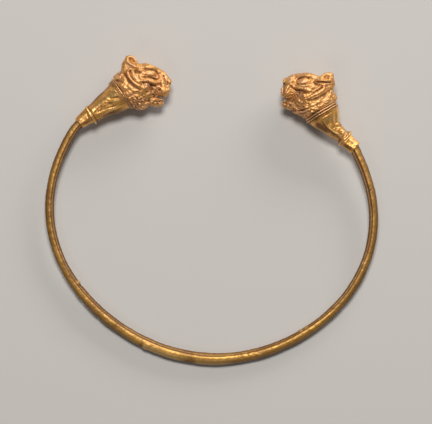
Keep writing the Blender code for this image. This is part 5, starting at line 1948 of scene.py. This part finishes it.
    # struck a little flat along the top
    flat_top = 0.03 * near_f(78.0, 24.0)
    r = radius - seam_cut + lip + fold + step + bumps - nicks + lumps - flat_top
    cf, sf = np.cos(np.radians(f)), np.sin(np.radians(f))
    grid = (
        path[:, None, :]
        + outward[:, None, :] * (r * cf)[..., None]
        + np.array([0.0, 0.0, 1.0]) * (r * sf)[..., None]
    )
    cavity = 1.1 * bell(gap, width * 1.05) * (0.6 + 0.45 * clear + 0.3 * open_end)
    # painted shade: darker along the rod's two sides, where it turns sideways
    cavity = cavity + 0.66 * (1 - smooth(np.abs(np.sin(np.radians(ff))), 0.20, 0.92))
    # painted shade: darker towards the ends, up the hoop's flanks, than round its bottom; a
    # little darker all over, and in the dints
    cavity = cavity + 0.16 + 0.24 * (1 - low**2) + np.clip(-9.0 * marks, -0.14, 0.35)
    cavity = cavity + 0.10 * waves(around_unit, 5.0, 58, 8).reshape(gap.shape)
    cavity = cavity + 3.2 * nicks + 0.4 * bell(gap - 18, 5) * clear
    cavity = cavity + 0.5 * near_t(-116.6, 0.5) * near_f(30, 40)
    cavity = cavity + 0.35 * bell((ff - 46 + 180) % 360 - 180, 5) * smooth(
        tt, -140, -118) * (1 - smooth(tt, -84, -70))
    worn = 10 * np.maximum(lip + fold + bumps + step - 0.01, 0)
    dirt = (
        0.2 * near_t(-19.6, 0.6) * near_f(120, 24)
        + 0.5 * near_t(-203.0, 0.8) * near_f(35, 20)
        + 0.45 * open_end * bell(gap, width)
        + 0.6 * near_t(-148.2, 0.7) * near_f(142, 30)
        + 0.3 * near_t(-78, 2.0) * near_f(100, 20)
        + 0.3 * clear * bell(gap, 3.5)
    )
    flat = Matrix.Identity(4)
    return shell_piece(
        "hoop_rod", grid, hoop_gold, ["hoop"], "hoop_gold", RESTING @ flat, 1.0,
        cavity=np.clip(cavity, 0, 1), dirt=np.clip(dirt, 0, 1), worn=np.clip(worn, 0, 1),
    )


build_cone("left", CONE_LEFT, LIP_LEFT, RIM_LEFT, 3)
build_cone("right", CONE_RIGHT, LIP_RIGHT, RIM_RIGHT, 8)
build_sleeve("left", SLEEVE_LEFT, 5, (
    (0, 26, 0.5), (48, 24, 0.75), (88, 20, 0.7), (128, 24, 0.6), (170, 26, 0.5),
    (212, 24, 0.6), (258, 26, 0.6), (305, 28, 0.6),
))
build_sleeve("right", SLEEVE_RIGHT, 6, (
    (4, 24, 0.45), (-50, 26, 0.7), (-92, 20, 0.6), (-132, 24, 0.6), (-176, 24, 0.5),
    (-220, 24, 0.6), (-264, 26, 0.5), (-310, 26, 0.6),
))
build_rim("left", RIM_LEFT, 21)
build_rim("right", RIM_RIGHT, 22)
build_hoop()


# --------------------------------------------------------- floor and studio
def floor():
    mesh = bpy.data.meshes.new("studio_floor")
    size = 4.0
    mesh.from_pydata(
        [(-size, -size, 0), (size, -size, 0), (size, size, 0), (-size, size, 0)],
        [], [(0, 1, 2, 3)],
    )
    made = bpy.data.materials.new("studio_floor_pale")
    made.use_nodes = True
    shader = made.node_tree.nodes["Principled BSDF"]
    shader.inputs["Base Color"].default_value = (0.56, 0.546, 0.523, 1)
    shader.inputs["Roughness"].default_value = 0.85
    shader.inputs["Specular IOR Level"].default_value = 0.2
    mesh.materials.append(made)
    obj = bpy.data.objects.new("studio_floor", mesh)
    bpy.context.scene.collection.objects.link(obj)
    obj.location.z = -0.00002


def soft_light(name, where, aim, size, power, colour=(1, 1, 1)):
    data = bpy.data.lights.new(name, "AREA")
    data.shape = "RECTANGLE"
    data.size, data.size_y = size
    data.energy = power
    data.color = colour
    obj = bpy.data.objects.new(name, data)
    bpy.context.scene.collection.objects.link(obj)
    obj.location = where
    way = Vector(aim) - Vector(where)
    obj.rotation_euler = way.to_track_quat("-Z", "Y").to_euler()
    return obj


floor()
soft_light("key", (0.0, 0.22, 0.64), (0, 0, 0), (0.20, 0.16), 3.42, (1.0, 0.97, 0.94))
soft_light("back", (0.34, 0.54, 0.24), (0, 0, 0), (0.50, 0.20), 2.25, (1.0, 0.98, 0.96))
soft_light("fill", (-0.20, -0.34, 0.55), (0, 0, 0), (0.26, 0.18), 0.25, (0.98, 0.98, 1.0))

world = bpy.data.worlds.new("studio")
world.use_nodes = True
world.node_tree.nodes["Background"].inputs["Color"].default_value = (0.30, 0.29, 0.28, 1)
world.node_tree.nodes["Background"].inputs["Strength"].default_value = 0.31
bpy.context.scene.world = world

bpy.context.scene.view_settings.view_transform = "Standard"

# The camera looks straight down on the hoop's own plane.
camera_data = bpy.data.cameras.new("camera")
camera_data.lens, camera_data.sensor_width = 200, 36
camera_data.clip_start, camera_data.clip_end = 0.01, 20
camera = bpy.data.objects.new("camera", camera_data)
bpy.context.scene.collection.objects.link(camera)
looks_at = RESTING @ Vector((0.976, -0.325, 0))
camera.matrix_world = Matrix.Translation(
    (looks_at + RESTING.to_3x3() @ Vector((0, 0, 520.6))) * 0.001
) @ RESTING.to_3x3().to_4x4()
bpy.context.scene.camera = camera
